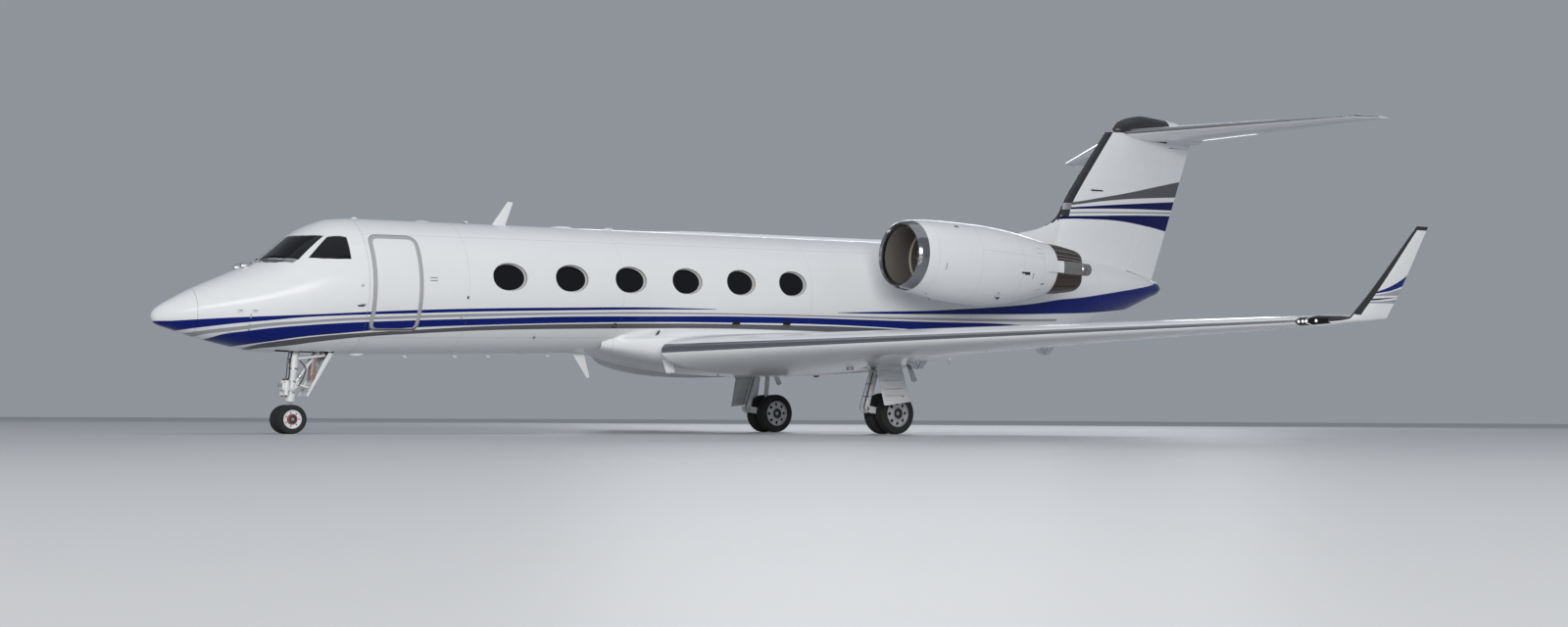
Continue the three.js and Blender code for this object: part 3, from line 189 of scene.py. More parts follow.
# Each band: colour, then station, lower edge and upper edge along the fuselage
bodyBands = [
    ("blue", [(-0.4, -0.9, -0.62), (0.2, -0.8, -0.655), (0.38, -0.78, -0.648), (0.56, -0.755, -0.638),
              (0.79, -0.728, -0.625), (1.18, -0.685, -0.606), (1.69, -0.641, -0.585), (2.23, -0.593, -0.561),
              (2.8, -0.563, -0.534), (4.1, -0.515, -0.473), (5.57, -0.467, -0.425), (7.14, -0.433, -0.394),
              (8.8, -0.402, -0.371), (10.4, -0.386, -0.384)]),
    ("grey", [(-0.4, -1.1, -1.0), (0.5, -0.95, -0.85), (0.82, -0.844, -0.798), (1.2, -0.804, -0.756),
              (1.7, -0.74, -0.697), (2.25, -0.694, -0.662), (2.8, -0.655, -0.623), (4.1, -0.6, -0.566),
              (5.58, -0.552, -0.515), (7.16, -0.509, -0.481), (8.83, -0.485, -0.458), (11.5, -0.487, -0.468),
              (13.5, -0.511, -0.489), (15.9, -0.549, -0.508), (18.5, -0.561, -0.518), (19.8, -0.54, -0.5)]),
    ("blue", [(-0.4, -1.4, -1.3), (0.8, -1.3, -0.98), (1.15, -1.2, -0.872), (1.3, -1.04, -0.846), (1.5, -1.01, -0.82),
              (1.75, -0.976, -0.79), (2.28, -0.902, -0.745), (2.85, -0.85, -0.707), (4.15, -0.752, -0.65),
              (5.6, -0.698, -0.606), (7.2, -0.653, -0.560), (9.0, -0.629, -0.540), (10.65, -0.630, -0.528),
              (12.6, -0.643, -0.542), (14.4, -0.69, -0.575), (16.0, -0.758, -0.605), (17.0, -0.79, -0.616),
              (17.8, -0.785, -0.626), (18.7, -0.745, -0.657), (19.6, -0.7, -0.695)]),
    ("darkGrey", [(-0.4, -1.5, -1.4), (1.4, -1.3, -1.13), (1.6, -1.1, -1.045), (2.05, -1.058, -0.98),
                  (2.66, -0.98, -0.908), (3.42, -0.905, -0.853), (4.2, -0.859, -0.81), (5.65, -0.793, -0.735),
                  (7.25, -0.762, -0.694), (9.8, -0.75, -0.672), (11.65, -0.776, -0.689), (13.7, -0.83, -0.72),
                  (15.3, -0.875, -0.77), (17.0, -0.88, -0.82), (18.6, -0.82, -0.79), (19.6, -0.74, -0.735)]),
    ("blue", [(13.4, -0.422, -0.42), (14.3, -0.429, -0.399), (15.1, -0.427, -0.381), (15.9, -0.42, -0.362),
              (16.75, -0.412, -0.322), (17.6, -0.402, -0.281), (18.5, -0.389, -0.221), (19.1, -0.374, -0.165),
              (19.75, -0.352, -0.088), (20.5, -0.329, -0.03), (21.3, -0.289, 0.056), (22.1, -0.231, 0.148),
              (22.95, -0.16, 0.247), (23.7, 0.0, 0.36), (24.4, 0.1, 0.56)]),
]
span = {"from": -1.0, "length": 27.0, "low": -1.5, "height": 2.2}


# One inside the band between two curves, nought outside it
def bandMask(tree, along, up, rows, reach, window):
    part = maths(tree, "DIVIDE", maths(tree, "SUBTRACT", along, window["from"]), window["length"], True)
    level = maths(tree, "DIVIDE", maths(tree, "SUBTRACT", up, window["low"]), window["height"])
    edges = []
    for column in (1, 2):
        bend = tree.nodes.new("ShaderNodeFloatCurve")
        track = bend.mapping.curves[0]
        spots = [((row[0] - window["from"]) / window["length"], (row[column] - window["low"]) / window["height"])
                 for row in rows]
        for index, spot in enumerate(spots):
            if index < 2:
                track.points[index].location = spot
            else:
                track.points.new(*spot)
        bend.mapping.use_clip = False
        bend.mapping.update()
        tree.links.new(part, bend.inputs["Value"])
        edges.append(bend.outputs[0])
    inside = maths(tree, "MULTIPLY", maths(tree, "GREATER_THAN", level, edges[0]),
                   maths(tree, "LESS_THAN", level, edges[1]))
    limits = reach or (rows[0][0], rows[-1][0])
    inside = maths(tree, "MULTIPLY", inside, maths(tree, "GREATER_THAN", along, limits[0]))
    return maths(tree, "MULTIPLY", inside, maths(tree, "LESS_THAN", along, limits[1]))


def banded(tree, base, bands, along, up, reach=None, window=span):
    for name, rows in bands:
        base = mixColour(tree, bandMask(tree, along, up, rows, reach, window), base, livery[name])
    return base


def bodyPaint(tree, place, base):
    axes = node(tree, "ShaderNodeSeparateXYZ", {0: place}).outputs
    fuller = [(name, [(x, low - 0.0035 - 0.08 * (high - low), high + 0.0035 + 0.08 * (high - low))
                      for x, low, high in rows]) for name, rows in bodyBands]
    return seams(tree, axes, banded(tree, base, fuller, axes[0], axes[2]), bodySeams)


# Thin panel joints. Each has the axis it is counted on (0 is x, 2 is z), its place on that axis,
# and where it starts and ends on the other one.
def seams(tree, axes, base, stations, wide=0.0045):
    total = None
    for axis, value, low, high in stations:
        off = maths(tree, "ABSOLUTE", maths(tree, "SUBTRACT", axes[axis], value))
        line = maths(tree, "LESS_THAN", off, wide)
        other = axes[2] if axis == 0 else axes[0]
        line = maths(tree, "MULTIPLY", line, maths(tree, "GREATER_THAN", other, low))
        line = maths(tree, "MULTIPLY", line, maths(tree, "LESS_THAN", other, high))
        total = line if total is None else maths(tree, "MAXIMUM", total, line)
    return mixColour(tree, maths(tree, "MULTIPLY", total, 0.24), base, livery["line"])


bodySeams = [(0, 5.15, -2, 2), (0, 8.3, -2, 2), (0, 12.7, -2, 2), (0, 17.1, -2, 2), (0, 19.4, -2, 2),
             (0, 21.3, -2, 2), (2, 0.86, 3.3, 17.1), (2, -0.93, 3.3, 21.3)]


def stripedFinish(name, dirt, scale, paint):
    return finish(name, livery["white"], 0.22, coat=0.10, dirt=dirt, scale=scale, paint=paint,
                  **{"Specular IOR Level": 0.22})


white = finish("whitePaint", livery["white"], 0.22, coat=0.25, dirt=0.14, scale=0.6)
bodyWhite = stripedFinish("bodyPaint", 0.14, 0.6, bodyPaint)
reveal = finish("windowReveal", (0.62, 0.62, 0.61), 0.35, dirt=0.2)
lining = finish("cabinLining", (0.60, 0.55, 0.47), 0.7, dirt=0.2, bump=0.002)
# Polished metal with its colour darkened far below bare aluminium: a painted dark reflection on leading edges, intake
# lips and the windscreen sill
polishedDarkReflection = finish("polishedMetalDarkReflection", (0.32, 0.32, 0.335), 0.12, metallic=1.0, dirt=0.25, scale=2.0)
# Near black on the fin's leading edge, the dorsal ridge, the winglets' edges and the bullet's nose: a painted dark
# reflection, and painted shade on the bullet's top
darkReflectionAndShade = finish("leadingEdgeDarkReflectionAndShade", (0.045, 0.045, 0.048), 0.24, metallic=0.3, dirt=0.3, scale=2.0)
steel = finish("machinedSteel", (0.55, 0.56, 0.58), 0.28, metallic=1.0, dirt=0.4, scale=4.0)
# Opaque near-black glass in place of clear panes: painted shade for the dark room behind them
glass = finish("glassWithPaintedCabinShade", (0.006, 0.006, 0.008), 0.05, dirt=0.02, **{"Specular IOR Level": 0.28})
rubber = finish("sealRubber", (0.43, 0.435, 0.45), 0.5, dirt=0.35, scale=4.0)
# Near black: the own colour of small black parts such as wicks, seals and marks, and painted shade on the walls of
# bays, gaps, holes, slots and vents
blackPartsAndGapShade = finish("blackPartsAndGapShade", (0.012, 0.012, 0.013), 0.8)
gearWhite = finish("gearPaint", (0.82, 0.83, 0.84), 0.32, coat=0.2, dirt=0.55, scale=5.0, bump=0.0015)
chrome = finish("pistonChrome", (0.80, 0.81, 0.83), 0.06, metallic=1.0, dirt=0.15, scale=6.0)
tyreBlack = finish("tyreRubber", (0.016, 0.016, 0.017), 0.78, dirt=0.3, scale=5.0, bump=0.002,
                   dirtColour=(0.09, 0.085, 0.08))
hose = finish("hoseRubber", (0.02, 0.02, 0.022), 0.5, dirt=0.2)
trim = finish("cabinLeather", (0.48, 0.40, 0.30), 0.5, dirt=0.3, scale=6.0, bump=0.003)
carpet = finish("cabinCarpet", (0.18, 0.16, 0.15), 0.95, dirt=0.4, scale=20.0, bump=0.004)
instrument = finish("instrumentBlack", (0.02, 0.021, 0.024), 0.45, dirt=0.25)

floorPaint = finish("studioFloor", studio["floor"], 0.5, dirt=0.06, scale=0.4)
mesh = bmesh.new()
bmesh.ops.create_grid(mesh, x_segments=2, y_segments=2, size=studio["floorSize"] / 2)
ground = bpy.data.objects.new("studioFloor", bpy.data.meshes.new("studioFloor"))
mesh.to_mesh(ground.data)
mesh.free()
ground.data.materials.append(floorPaint)
scene.collection.objects.link(ground)
print("stage 2: materials")


# Shape helpers

# A smooth curve through a table that never overshoots it
def curveThrough(places, values):
    places, values = np.array(places, float), np.array(values, float)
    steps = np.diff(places)
    rises = np.diff(values) / steps
    slopes = np.zeros(len(places))
    slopes[0], slopes[-1] = rises[0], rises[-1]
    for index in range(1, len(places) - 1):
        before, after = rises[index - 1], rises[index]
        if before * after > 0:
            near, far = 2 * steps[index] + steps[index - 1], steps[index] + 2 * steps[index - 1]
            slopes[index] = (near + far) / (near / before + far / after)

    def valueAt(place):
        index = int(min(max(np.searchsorted(places, place) - 1, 0), len(steps) - 1))
        part = min(max((place - places[index]) / steps[index], 0), 1)
        return float((2 * part**3 - 3 * part**2 + 1) * values[index]
                     + (part**3 - 2 * part**2 + part) * steps[index] * slopes[index]
                     + (3 * part**2 - 2 * part**3) * values[index + 1]
                     + (part**3 - part**2) * steps[index] * slopes[index + 1])
    return valueAt


# A curve for each column of a table of stations
def curvesOf(table):
    places, *columns = zip(*table)
    return [curveThrough(places, column) for column in columns]


def evenly(start, end, steps):
    return [start + (end - start) * k / steps for k in range(steps + 1)]


# A grid bent to a surface. join "seam" welds its seam and "solid" also fills its open ends.
# stripes gives each face its material by row and column.
def sheet(alongs, acrosses, spot, join=None, stripes=None):
    mesh = bmesh.new()
    bmesh.ops.create_grid(mesh, x_segments=len(acrosses) - 1, y_segments=len(alongs) - 1, size=1)
    mesh.verts.ensure_lookup_table()
    mesh.faces.ensure_lookup_table()
    wide = len(acrosses)
    for row, along in enumerate(alongs):
        for column, across in enumerate(acrosses):
            mesh.verts[row * wide + column].co = spot(along, across)
    if stripes:
        for index, face in enumerate(mesh.faces):
            face.material_index = stripes(index // (wide - 1), index % (wide - 1))
    if join:
        bmesh.ops.remove_doubles(mesh, verts=mesh.verts, dist=1e-5)
    if join == "solid":
        bmesh.ops.holes_fill(mesh, edges=[e for e in mesh.edges if e.is_boundary], sides=0)
    bmesh.ops.recalc_face_normals(mesh, faces=mesh.faces)
    return mesh


# Turns a bmesh into a finished piece on its body
def makePiece(name, mesh, materials, replaced, body="airframe", smooth=35):
    bmesh.ops.transform(mesh, matrix=toGround, verts=mesh.verts)
    piece = bpy.data.objects.new(name, bpy.data.meshes.new(name))
    mesh.to_mesh(piece.data)
    mesh.free()
    for material in materials:
        piece.data.materials.append(material)
    scene.collection.objects.link(piece)
    piece.data.polygons.foreach_set("use_smooth", [True] * len(piece.data.polygons))
    piece.data.set_sharp_from_angle(angle=math.radians(smooth))
    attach(piece, body)
    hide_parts(*replaced)
    return piece


# Several bmeshes as one
def joined(*meshes):
    total = meshes[0]
    for extra in meshes[1:]:
        holder = bpy.data.meshes.new("part")
        extra.to_mesh(holder)
        extra.free()
        total.from_mesh(holder)
        bpy.data.meshes.remove(holder)
    return total


def tagged(mesh, index):
    for face in mesh.faces:
        face.material_index = index
    return mesh


# Gives a sheet a wall on its inner side, after facing it the way outward points from a face's middle
def thickened(mesh, thickness, index=0, outward=None):
    if outward:
        mesh.faces.ensure_lookup_table()
        face = mesh.faces[0]
        if face.normal.dot(outward(face.calc_center_median())) < 0:
            bmesh.ops.reverse_faces(mesh, faces=mesh.faces)
    bmesh.ops.solidify(mesh, geom=mesh.faces[:], thickness=thickness)
    return tagged(mesh, index)


def spun(mesh, angle, axis, centre=(0, 0, 0)):
    bmesh.ops.rotate(mesh, cent=centre, matrix=Matrix.Rotation(angle, 3, axis), verts=mesh.verts)
    return mesh


def box(low, high, bevel=0.0, segments=2):
    mesh = bmesh.new()
    bmesh.ops.create_cube(mesh, size=1)
    low, high = Vector(low), Vector(high)
    bmesh.ops.scale(mesh, vec=high - low, verts=mesh.verts)
    bmesh.ops.translate(mesh, vec=(low + high) / 2, verts=mesh.verts)
    if bevel:
        bmesh.ops.bevel(mesh, geom=mesh.edges[:], offset=bevel, affect="EDGES", segments=segments, profile=0.5,
                        material=-1)
    return mesh


# A profile of (along, radius) pairs spun about the line from start towards aim
def turnedPart(profile, start, aim, steps=32, stripes=None):
    mesh = bmesh.new()
    start, line = Vector(start), (Vector(aim) - Vector(start)).normalized()
    side = line.orthogonal().normalized()
    corners = [mesh.verts.new(start + line * along + side * radius) for along, radius in profile]
    edges = [mesh.edges.new(pair) for pair in zip(corners, corners[1:])]
    bmesh.ops.spin(mesh, geom=corners + edges, cent=start, axis=line, angle=math.tau, steps=steps, use_merge=True)
    bmesh.ops.remove_doubles(mesh, verts=mesh.verts, dist=1e-5)
    bmesh.ops.recalc_face_normals(mesh, faces=mesh.faces)
    if stripes:
        for face in mesh.faces:
            off = face.calc_center_median() - start
            along = off.dot(line)
            face.material_index = stripes(along, (off - line * along).length)
    return mesh


# A round bar with softened ends
def rod(start, end, radius, endRadius=None, steps=16, bevel=0.12):
    length = (Vector(end) - Vector(start)).length
    last = radius if endRadius is None else endRadius
    soft = min(bevel * radius, length / 4)
    profile = [(0, 0), (0, radius - soft), (soft, radius), (length - soft, last), (length, last - soft * 0.9),
               (length, 0)]
    return turnedPart(profile, start, end, steps)


# A round bar lying across the aircraft
def crossRod(centre, half, radius, steps=16):
    reach = Vector((0, half, 0))
    return rod(centre - reach, centre + reach, radius, steps=steps)


# A pipe along points, smoothed to a curve
def tube(points, radius, steps=10, smoothly=True):
    points = [Vector(p) for p in points]
    if smoothly and len(points) > 2:
        marks = range(len(points))
        bends = [curveThrough(marks, [p[k] for p in points]) for k in range(3)]
        count = (len(points) - 1) * 6
        points = [Vector([bend(i / 6) for bend in bends]) for i in range(count + 1)]
    mesh = bmesh.new()
    rings = []
    for index, point in enumerate(points):
        ahead = points[min(index + 1, len(points) - 1)] - points[max(index - 1, 0)]
        turn = ahead.to_track_quat("Z", "Y").to_matrix().to_4x4()
        made = bmesh.ops.create_circle(mesh, cap_ends=index in (0, len(points) - 1), segments=steps, radius=radius,
                                       matrix=Matrix.Translation(point) @ turn)
        rings.append(made["verts"])
    for first, second in zip(rings, rings[1:]):
        edges = []
        for ring in (first, second):
            members = set(ring)
            edges += [e for e in {e for v in ring for e in v.link_edges} if set(e.verts) <= members]
        bmesh.ops.bridge_loops(mesh, edges=edges)
    bmesh.ops.recalc_face_normals(mesh, faces=mesh.faces)
    return mesh


# An outline of (a, b) corners made a plate between two levels: across y, x or z
def slab(outline, low, high, across="y", bevel=0.0):
    order = {"y": lambda a, b, c: (a, c, b), "x": lambda a, b, c: (c, a, b), "z": lambda a, b, c: (a, b, c)}[across]
    mesh = bmesh.new()
    face = mesh.faces.new([mesh.verts.new(order(a, b, low)) for a, b in outline])
    grown = bmesh.ops.extrude_face_region(mesh, geom=[face])
    shift = Vector(order(0, 0, high)) - Vector(order(0, 0, low))
    bmesh.ops.translate(mesh, vec=shift, verts=[v for v in grown["geom"] if isinstance(v, bmesh.types.BMVert)])
    bmesh.ops.recalc_face_normals(mesh, faces=mesh.faces)
    if bevel:
        bmesh.ops.bevel(mesh, geom=mesh.edges[:], offset=bevel, affect="EDGES", segments=2, profile=0.5, material=-1)
    return mesh


# Corners with rounded bends, as a list of points
def roundedOutline(corners, radii, steps=8):
    points = []
    count = len(corners)
    for index in range(count):
        here, before, after = (Vector(corners[i % count]) for i in (index, index - 1, index + 1))
        radius = radii[index] if isinstance(radii, (list, tuple)) else radii
        one, two = (before - here).normalized(), (after - here).normalized()
        for step in range(steps + 1):
            part = step / steps
            points.append(tuple(here + one * radius * (1 - part)**2 + two * radius * part**2))
    return points


def roundedBox(left, right, low, high, radius, steps=8):
    return roundedOutline([(left, low), (right, low), (right, high), (left, high)], radius, steps)


def oval(centre, wide, tall, count=40, power=2.0):
    marks = [math.tau * k / count for k in range(count)]
    return [(centre[0] + wide / 2 * math.copysign(abs(math.cos(m))**(2 / power), math.cos(m)),
             centre[1] + tall / 2 * math.copysign(abs(math.sin(m))**(2 / power), math.sin(m))) for m in marks]


# Cuts a piece with other bmeshes drawn in aircraft coordinates, and keeps its smooth shading
def cutWith(piece, tools, operation="DIFFERENCE"):
    source = piece.data.copy()
    for tool in tools:
        bmesh.ops.transform(tool, matrix=toGround, verts=tool.verts)
        holder = bpy.data.objects.new("tool", bpy.data.meshes.new("tool"))
        tool.to_mesh(holder.data)
        tool.free()
        for material in piece.data.materials:
            holder.data.materials.append(material)
        scene.collection.objects.link(holder)
        step = piece.modifiers.new("cut", "BOOLEAN")
        step.operation = operation
        step.object = holder
        step.solver = "EXACT"
        step.material_mode = "INDEX"
        result = bpy.data.meshes.new_from_object(piece.evaluated_get(bpy.context.evaluated_depsgraph_get()))
        piece.modifiers.clear()
        old, piece.data = piece.data, result
        bpy.data.meshes.remove(old)
        bpy.data.objects.remove(holder)
    keepSmooth(piece, source)
    bpy.data.meshes.remove(source)
    return piece


# Corners that still lie on the uncut surface take its shading
def keepSmooth(piece, source, turn=28, reach=0.004):
    source.calc_loop_triangles()
    spots = [v.co.copy() for v in source.vertices]
    pieces = [tuple(t.vertices) for t in source.loop_triangles]
    loops = [tuple(t.loops) for t in source.loop_triangles]
    shades = [Vector(n.vector) for n in source.corner_normals]
    tree = BVHTree.FromPolygons(spots, pieces)
    data = piece.data
    data.polygons.foreach_set("use_smooth", [True] * len(data.polygons))
    limit = math.cos(math.radians(turn))
    normals = [None] * len(data.loops)
    for polygon in data.polygons:
        flat = polygon.normal.copy()
        middle = polygon.center
        for index in polygon.loop_indices:
            corner = data.vertices[data.loops[index].vertex_index].co
            inward = corner.lerp(middle, min(0.3, 0.0008 / max((middle - corner).length, 1e-6)))
            hit, _, found, gap = tree.find_nearest(inward)
            normals[index] = flat
            if hit is not None and gap < reach:
                weights = interpolate.poly_3d_calc([spots[v] for v in pieces[found]], hit)
                shade = sum((shades[loop] * w for loop, w in zip(loops[found], weights)), Vector()).normalized()
                if shade.dot(flat) > limit:
                    normals[index] = shade
    data.normals_split_custom_set([tuple(n) for n in normals])


# Fuselage
# station, crown, keel, half width, height of the widest point
bodyTable = [
    (0, -0.550, -0.550, 0.0, -0.550), (0.060, -0.430, -0.670, 0.130, -0.550), (0.290, -0.275, -0.760, 0.300, -0.530),
    (0.620, -0.095, -0.875, 0.480, -0.480), (1.010, 0.080, -0.985, 0.670, -0.420),
    (1.430, 0.265, -1.085, 0.835, -0.350), (1.760, 0.400, -1.145, 0.935, -0.280),
    (2.050, 0.650, -1.165, 1.005, -0.215), (2.330, 0.880, -1.180, 1.060, -0.160),
    (2.640, 1.050, -1.190, 1.110, -0.100), (2.980, 1.160, -1.195, 1.155, -0.050), (3.420, 1.195, -1.195, 1.195, 0),
    (18.600, 1.195, -1.195, 1.195, 0), (19.500, 1.175, -1.130, 1.165, 0.020), (20.500, 1.110, -0.930, 1.075, 0.090),
    (21.500, 1.000, -0.650, 0.915, 0.170), (22.870, 0.790, -0.260, 0.610, 0.265),
    (23.800, 0.590, 0.060, 0.350, 0.325), (24.250, 0.460, 0.210, 0.165, 0.335), (24.340, 0.400, 0.270, 0.080, 0.335),
]
roots = [math.sqrt(row[0]) for row in bodyTable]
screenBase = 6  # the row where the windscreen starts and the crown line turns up
crownFront = curveThrough(roots[:screenBase + 1], [row[1] for row in bodyTable[:screenBase + 1]])
crownAft = curveThrough(roots[screenBase:], [row[1] for row in bodyTable[screenBase:]])
bodyRadius = 1.195  # of the cabin's round section
keelLine, halfLine, wideLine = (curveThrough(roots, [row[k] for row in bodyTable]) for k in (2, 3, 4))


def crownAt(x):
    return (crownFront if x < bodyTable[screenBase][0] else crownAft)(math.sqrt(max(x, 0)))


# A point of the fuselage skin. turn is 0 to starboard and a quarter turn at the crown.
def onBody(x, turn, inset=0.0):
    root = math.sqrt(max(x, 0))
    crown, half, middle = crownAt(x), halfLine(root), wideLine(root)
    rise = crown - middle if math.sin(turn) > 0 else middle - keelLine(root)
    return Vector((x, max(half - inset, 0) * math.cos(turn), middle + max(rise - inset, 0) * math.sin(turn)))


# Stations along the fuselage, closer together at its ends
def bodyStations(start, end, gap):
    stations = []
    x = start
    while x < end - 1e-6:
        stations.append(x)
        near = 0.5 if x < 3.4 or x > 18.4 else 1.0
        x += gap * near if x > 0.6 else max(0.004, 0.2 * math.sqrt(max(x, 0.0004)) * 0.4)
    if stations[-1] > end - gap * 0.2:
        stations.pop()
    return stations + [end]


def bodySheet(start, end, inset, steps, gap, join):
    return sheet(bodyStations(start, end, gap), evenly(0, math.tau, steps), lambda x, turn: onBody(x, turn, inset),
                 join)


# A length of the fuselage skin with a wall inside it
def shell(start, end, wall, inset=0.0, steps=96, gap=0.22):
    return thickened(bodySheet(start, end, inset, steps, gap, "seam"), wall)


# The room inside the skin, or a body just larger than it
def bodySolid(start, end, inset):
    return bodySheet(start, end, inset, 64, 0.22, "solid")


# The angle round the skin at height z on one side
def quarter(x, z, side=1, inset=0.0):
    root = math.sqrt(x)
    middle = wideLine(root)
    rise = crownAt(x) - middle if z > middle else middle - keelLine(root)
    turn = math.asin(max(-1, min(1, (z - middle) / (rise - inset))))
    return turn if side > 0 else math.pi - turn


# A point of the skin named by its station and height
def sidePoint(x, z, side=-1, inset=0.0):
    return onBody(x, quarter(x, z, side, inset), inset)


# A pane or a ring of one, following the skin inside an (x, z) outline
def disc(outline, side, depth, thickness, low=0.0, rings=6, index=0):
    centre = [sum(p[k] for p in outline) / len(outline) for k in (0, 1)]
    loop = outline + outline[:1]

    def spot(part, corner):
        x, z = (c + (v - c) * part for v, c in zip(loop[corner], centre))
        return sidePoint(x, z, side, depth)
    mesh = sheet(evenly(low, 1, rings), range(len(loop)), spot, "seam")
    return thickened(mesh, thickness, index, lambda middle: Vector((0, side, 0)))


# A short sleeve round an outline between two depths under the skin
def collar(outline, side, outer, inner, index=0):
    loop = outline + outline[:1]

    def spot(depth, corner):
        return sidePoint(*loop[corner], side) - Vector((0, side * depth, 0))
    mesh = sheet([outer, inner], range(len(loop)), spot)
    bmesh.ops.remove_doubles(mesh, verts=mesh.verts, dist=1e-5)
    thickened(mesh, 0.004, index)
    bmesh.ops.recalc_face_normals(mesh, faces=mesh.faces)
    return mesh


wall = 0.055
skinMaterials = [bodyWhite, lining, reveal, blackPartsAndGapShade]


# Gives the wall's inner face the cabin lining and its cut ends the reveal
def lined(mesh):
    for face in mesh.faces:
        middle = face.calc_center_median()
        outward = Vector((0, middle.y, middle.z - wideLine(math.sqrt(max(middle.x, 0)))))
        if face.normal.dot(outward) < 0:
            face.material_index = 1
    return mesh


nose = {"radomeEnd": 0.622, "split": 3.297, "cabinEnd": 17.098, "coneStart": 21.302}
radome = lined(shell(0.0, nose["radomeEnd"], 0.03, gap=0.12))
makePiece("radome", radome, skinMaterials, ["nose_radome"])


headSpot = Vector((3.5, 0, -0.3))  # inside the cabin, so that a pane can tell its outer side


# A pane between a lower and an upper edge, each a list of (x, turn)
def nosePane(low, high, side, depth, thickness, across=14, along=10, index=0):
    def spot(rise, part):
        x, turn = (a + (b - a) * rise for a, b in zip(edgeAt(low, part), edgeAt(high, part)))
        return onBody(x, turn if side > 0 else math.pi - turn, depth)
    mesh = sheet(evenly(0, 1, along), evenly(0, 1, across), spot)
    return thickened(mesh, thickness, index, lambda middle: middle - headSpot)


def edgeAt(edge, part):
    place = part * (len(edge) - 1)
    index = min(int(place), len(edge) - 2)
    rest = place - index
    return [a + (b - a) * rest for a, b in zip(edge[index], edge[index + 1])]


# Each opening's lower and upper edge from front to back
screenLow = [(1.772, math.radians(88.8)), (1.800, math.radians(77)), (1.860, math.radians(64)),
             (1.950, math.radians(52)), (2.175, quarter(2.175, 0.372))]
screenHigh = [(2.262, math.radians(88.9)), (2.285, math.radians(79)), (2.340, math.radians(70)),
              (2.450, math.radians(61)), (2.672, quarter(2.672, 0.808))]
sideLow = [(2.330, quarter(2.330, 0.405)), (2.55, quarter(2.55, 0.392)), (2.80, quarter(2.80, 0.388)),
           (3.015, quarter(3.015, 0.392))]
sideHigh = [(2.715, quarter(2.715, 0.788)), (2.82, quarter(2.82, 0.806)), (2.93, quarter(2.93, 0.806)),
            (3.020, quarter(3.020, 0.788))]
openings = {"windscreen": (screenLow, screenHigh), "cockpit_side_window": (sideLow, sideHigh)}

cockpit = lined(shell(nose["radomeEnd"] + 0.004, nose["split"], wall, gap=0.1, steps=128))
cockpit = makePiece("forwardFuselage", cockpit, skinMaterials, ["nose_shell"])
bay = {"front": 1.98, "rear": 3.02, "half": 0.285, "roof": -0.80}
cutters = [nosePane(low, high, side, -0.02, 0.14, index=2) for low, high in openings.values() for side in (1, -1)]
# The walls of the nose gear bay are cut in near black: painted shade
cutters.append(tagged(box((bay["front"], -bay["half"], -1.4), (bay["rear"], bay["half"], bay["roof"])), 3))
cutWith(cockpit, [joined(*cutters)])


# An opening's edges drawn in towards its middle
def shrunkEdges(low, high, gap):
    centre = [sum(p[k] for p in low + high) / len(low + high) for k in (0, 1)]
    return [[tuple(c + (v - c) * (1 - gap) for v, c in zip(p, centre)) for p in edge] for edge in (low, high)]


for label, (low, high) in openings.items():
    for side, word in sides:
        narrowLow, narrowHigh = shrunkEdges(low, high, 0.018)
        # Panes in opaque near-black glass: painted shade of the dark flight deck
        clear = nosePane(narrowLow, narrowHigh, side, 0.004, 0.012)
        frameRing = nosePane(*shrunkEdges(low, high, 0.003), side, 0.010, 0.03, index=1)
        makePiece(f"{label}Pane_{word}", joined(clear, frameRing), [glass, blackPartsAndGapShade],
                  [f"{label}_{word}"])

# Cabin
windows = {"first": 5.945, "pitch": 1.255, "count": 6, "height": 0.145, "wide": 0.680, "tall": 0.512, "deep": 0.085,
           "power": 2.08}
centres = [windows["first"] + windows["pitch"] * k for k in range(windows["count"])]


def windowShape(x, trim=0.0):
    return oval((x, windows["height"]), windows["wide"] - trim, windows["tall"] - trim, power=windows["power"])


door = {"front": 3.372, "rear": 4.268, "bottom": -0.785, "top": 0.845, "gap": 0.007, "seal": 0.066}


def doorOutline(grow, low, footRadius=0.13, topRadius=0.19):
    high = door["top"] + grow
    front, rear = door["front"] - grow, door["rear"] + grow
    corners = roundedOutline([(front, low), (rear, low), (rear, high), (front, high)],
                             [footRadius + grow * 0.5, footRadius + grow * 0.5, topRadius + grow, topRadius + grow], 10)
    fine = []
    for here, after in zip(corners, corners[1:] + corners[:1]):
        length = math.dist(here, after)
        count = max(1, int(length / 0.06))
        fine += [(here[0] + (after[0] - here[0]) * k / count,
                  here[1] + (after[1] - here[1]) * k / count) for k in range(count)]
    return fine


cabin = lined(shell(nose["split"] + 0.004, nose["cabinEnd"], wall, steps=128, gap=0.3))
cabin = makePiece("cabinShell", cabin, skinMaterials,
                  ["cabin_crown", "cabin_belly", "cabin_side_left", "cabin_side_right"])
holes = [tagged(slab(windowShape(x), side * 0.9, side * 1.4), 2) for x in centres for side in (-1, 1)]
sill = -0.824
doorHole = doorOutline(door["gap"], sill)
holes.append(tagged(slab(doorHole, -1.4, -0.5), 2))
cutWith(cabin, [joined(*holes)])

for side, word in sides:
    panes = []
    for x in centres:
        shape = windowShape(x, 0.004)
        # Panes in opaque near-black glass: painted shade of the dark cabin
        panes += [
            disc(shape, side, windows["deep"], 0.012),
            disc(shape, side, windows["deep"] - 0.012, 0.011, low=0.93, rings=2, index=2),
            collar(windowShape(x), side, 0.050, windows["deep"] + 0.012, 2)]
    makePiece(f"cabinWindows_{word}", joined(*panes), [glass, blackPartsAndGapShade, reveal],
              [f"cabin_windows_{word}"])

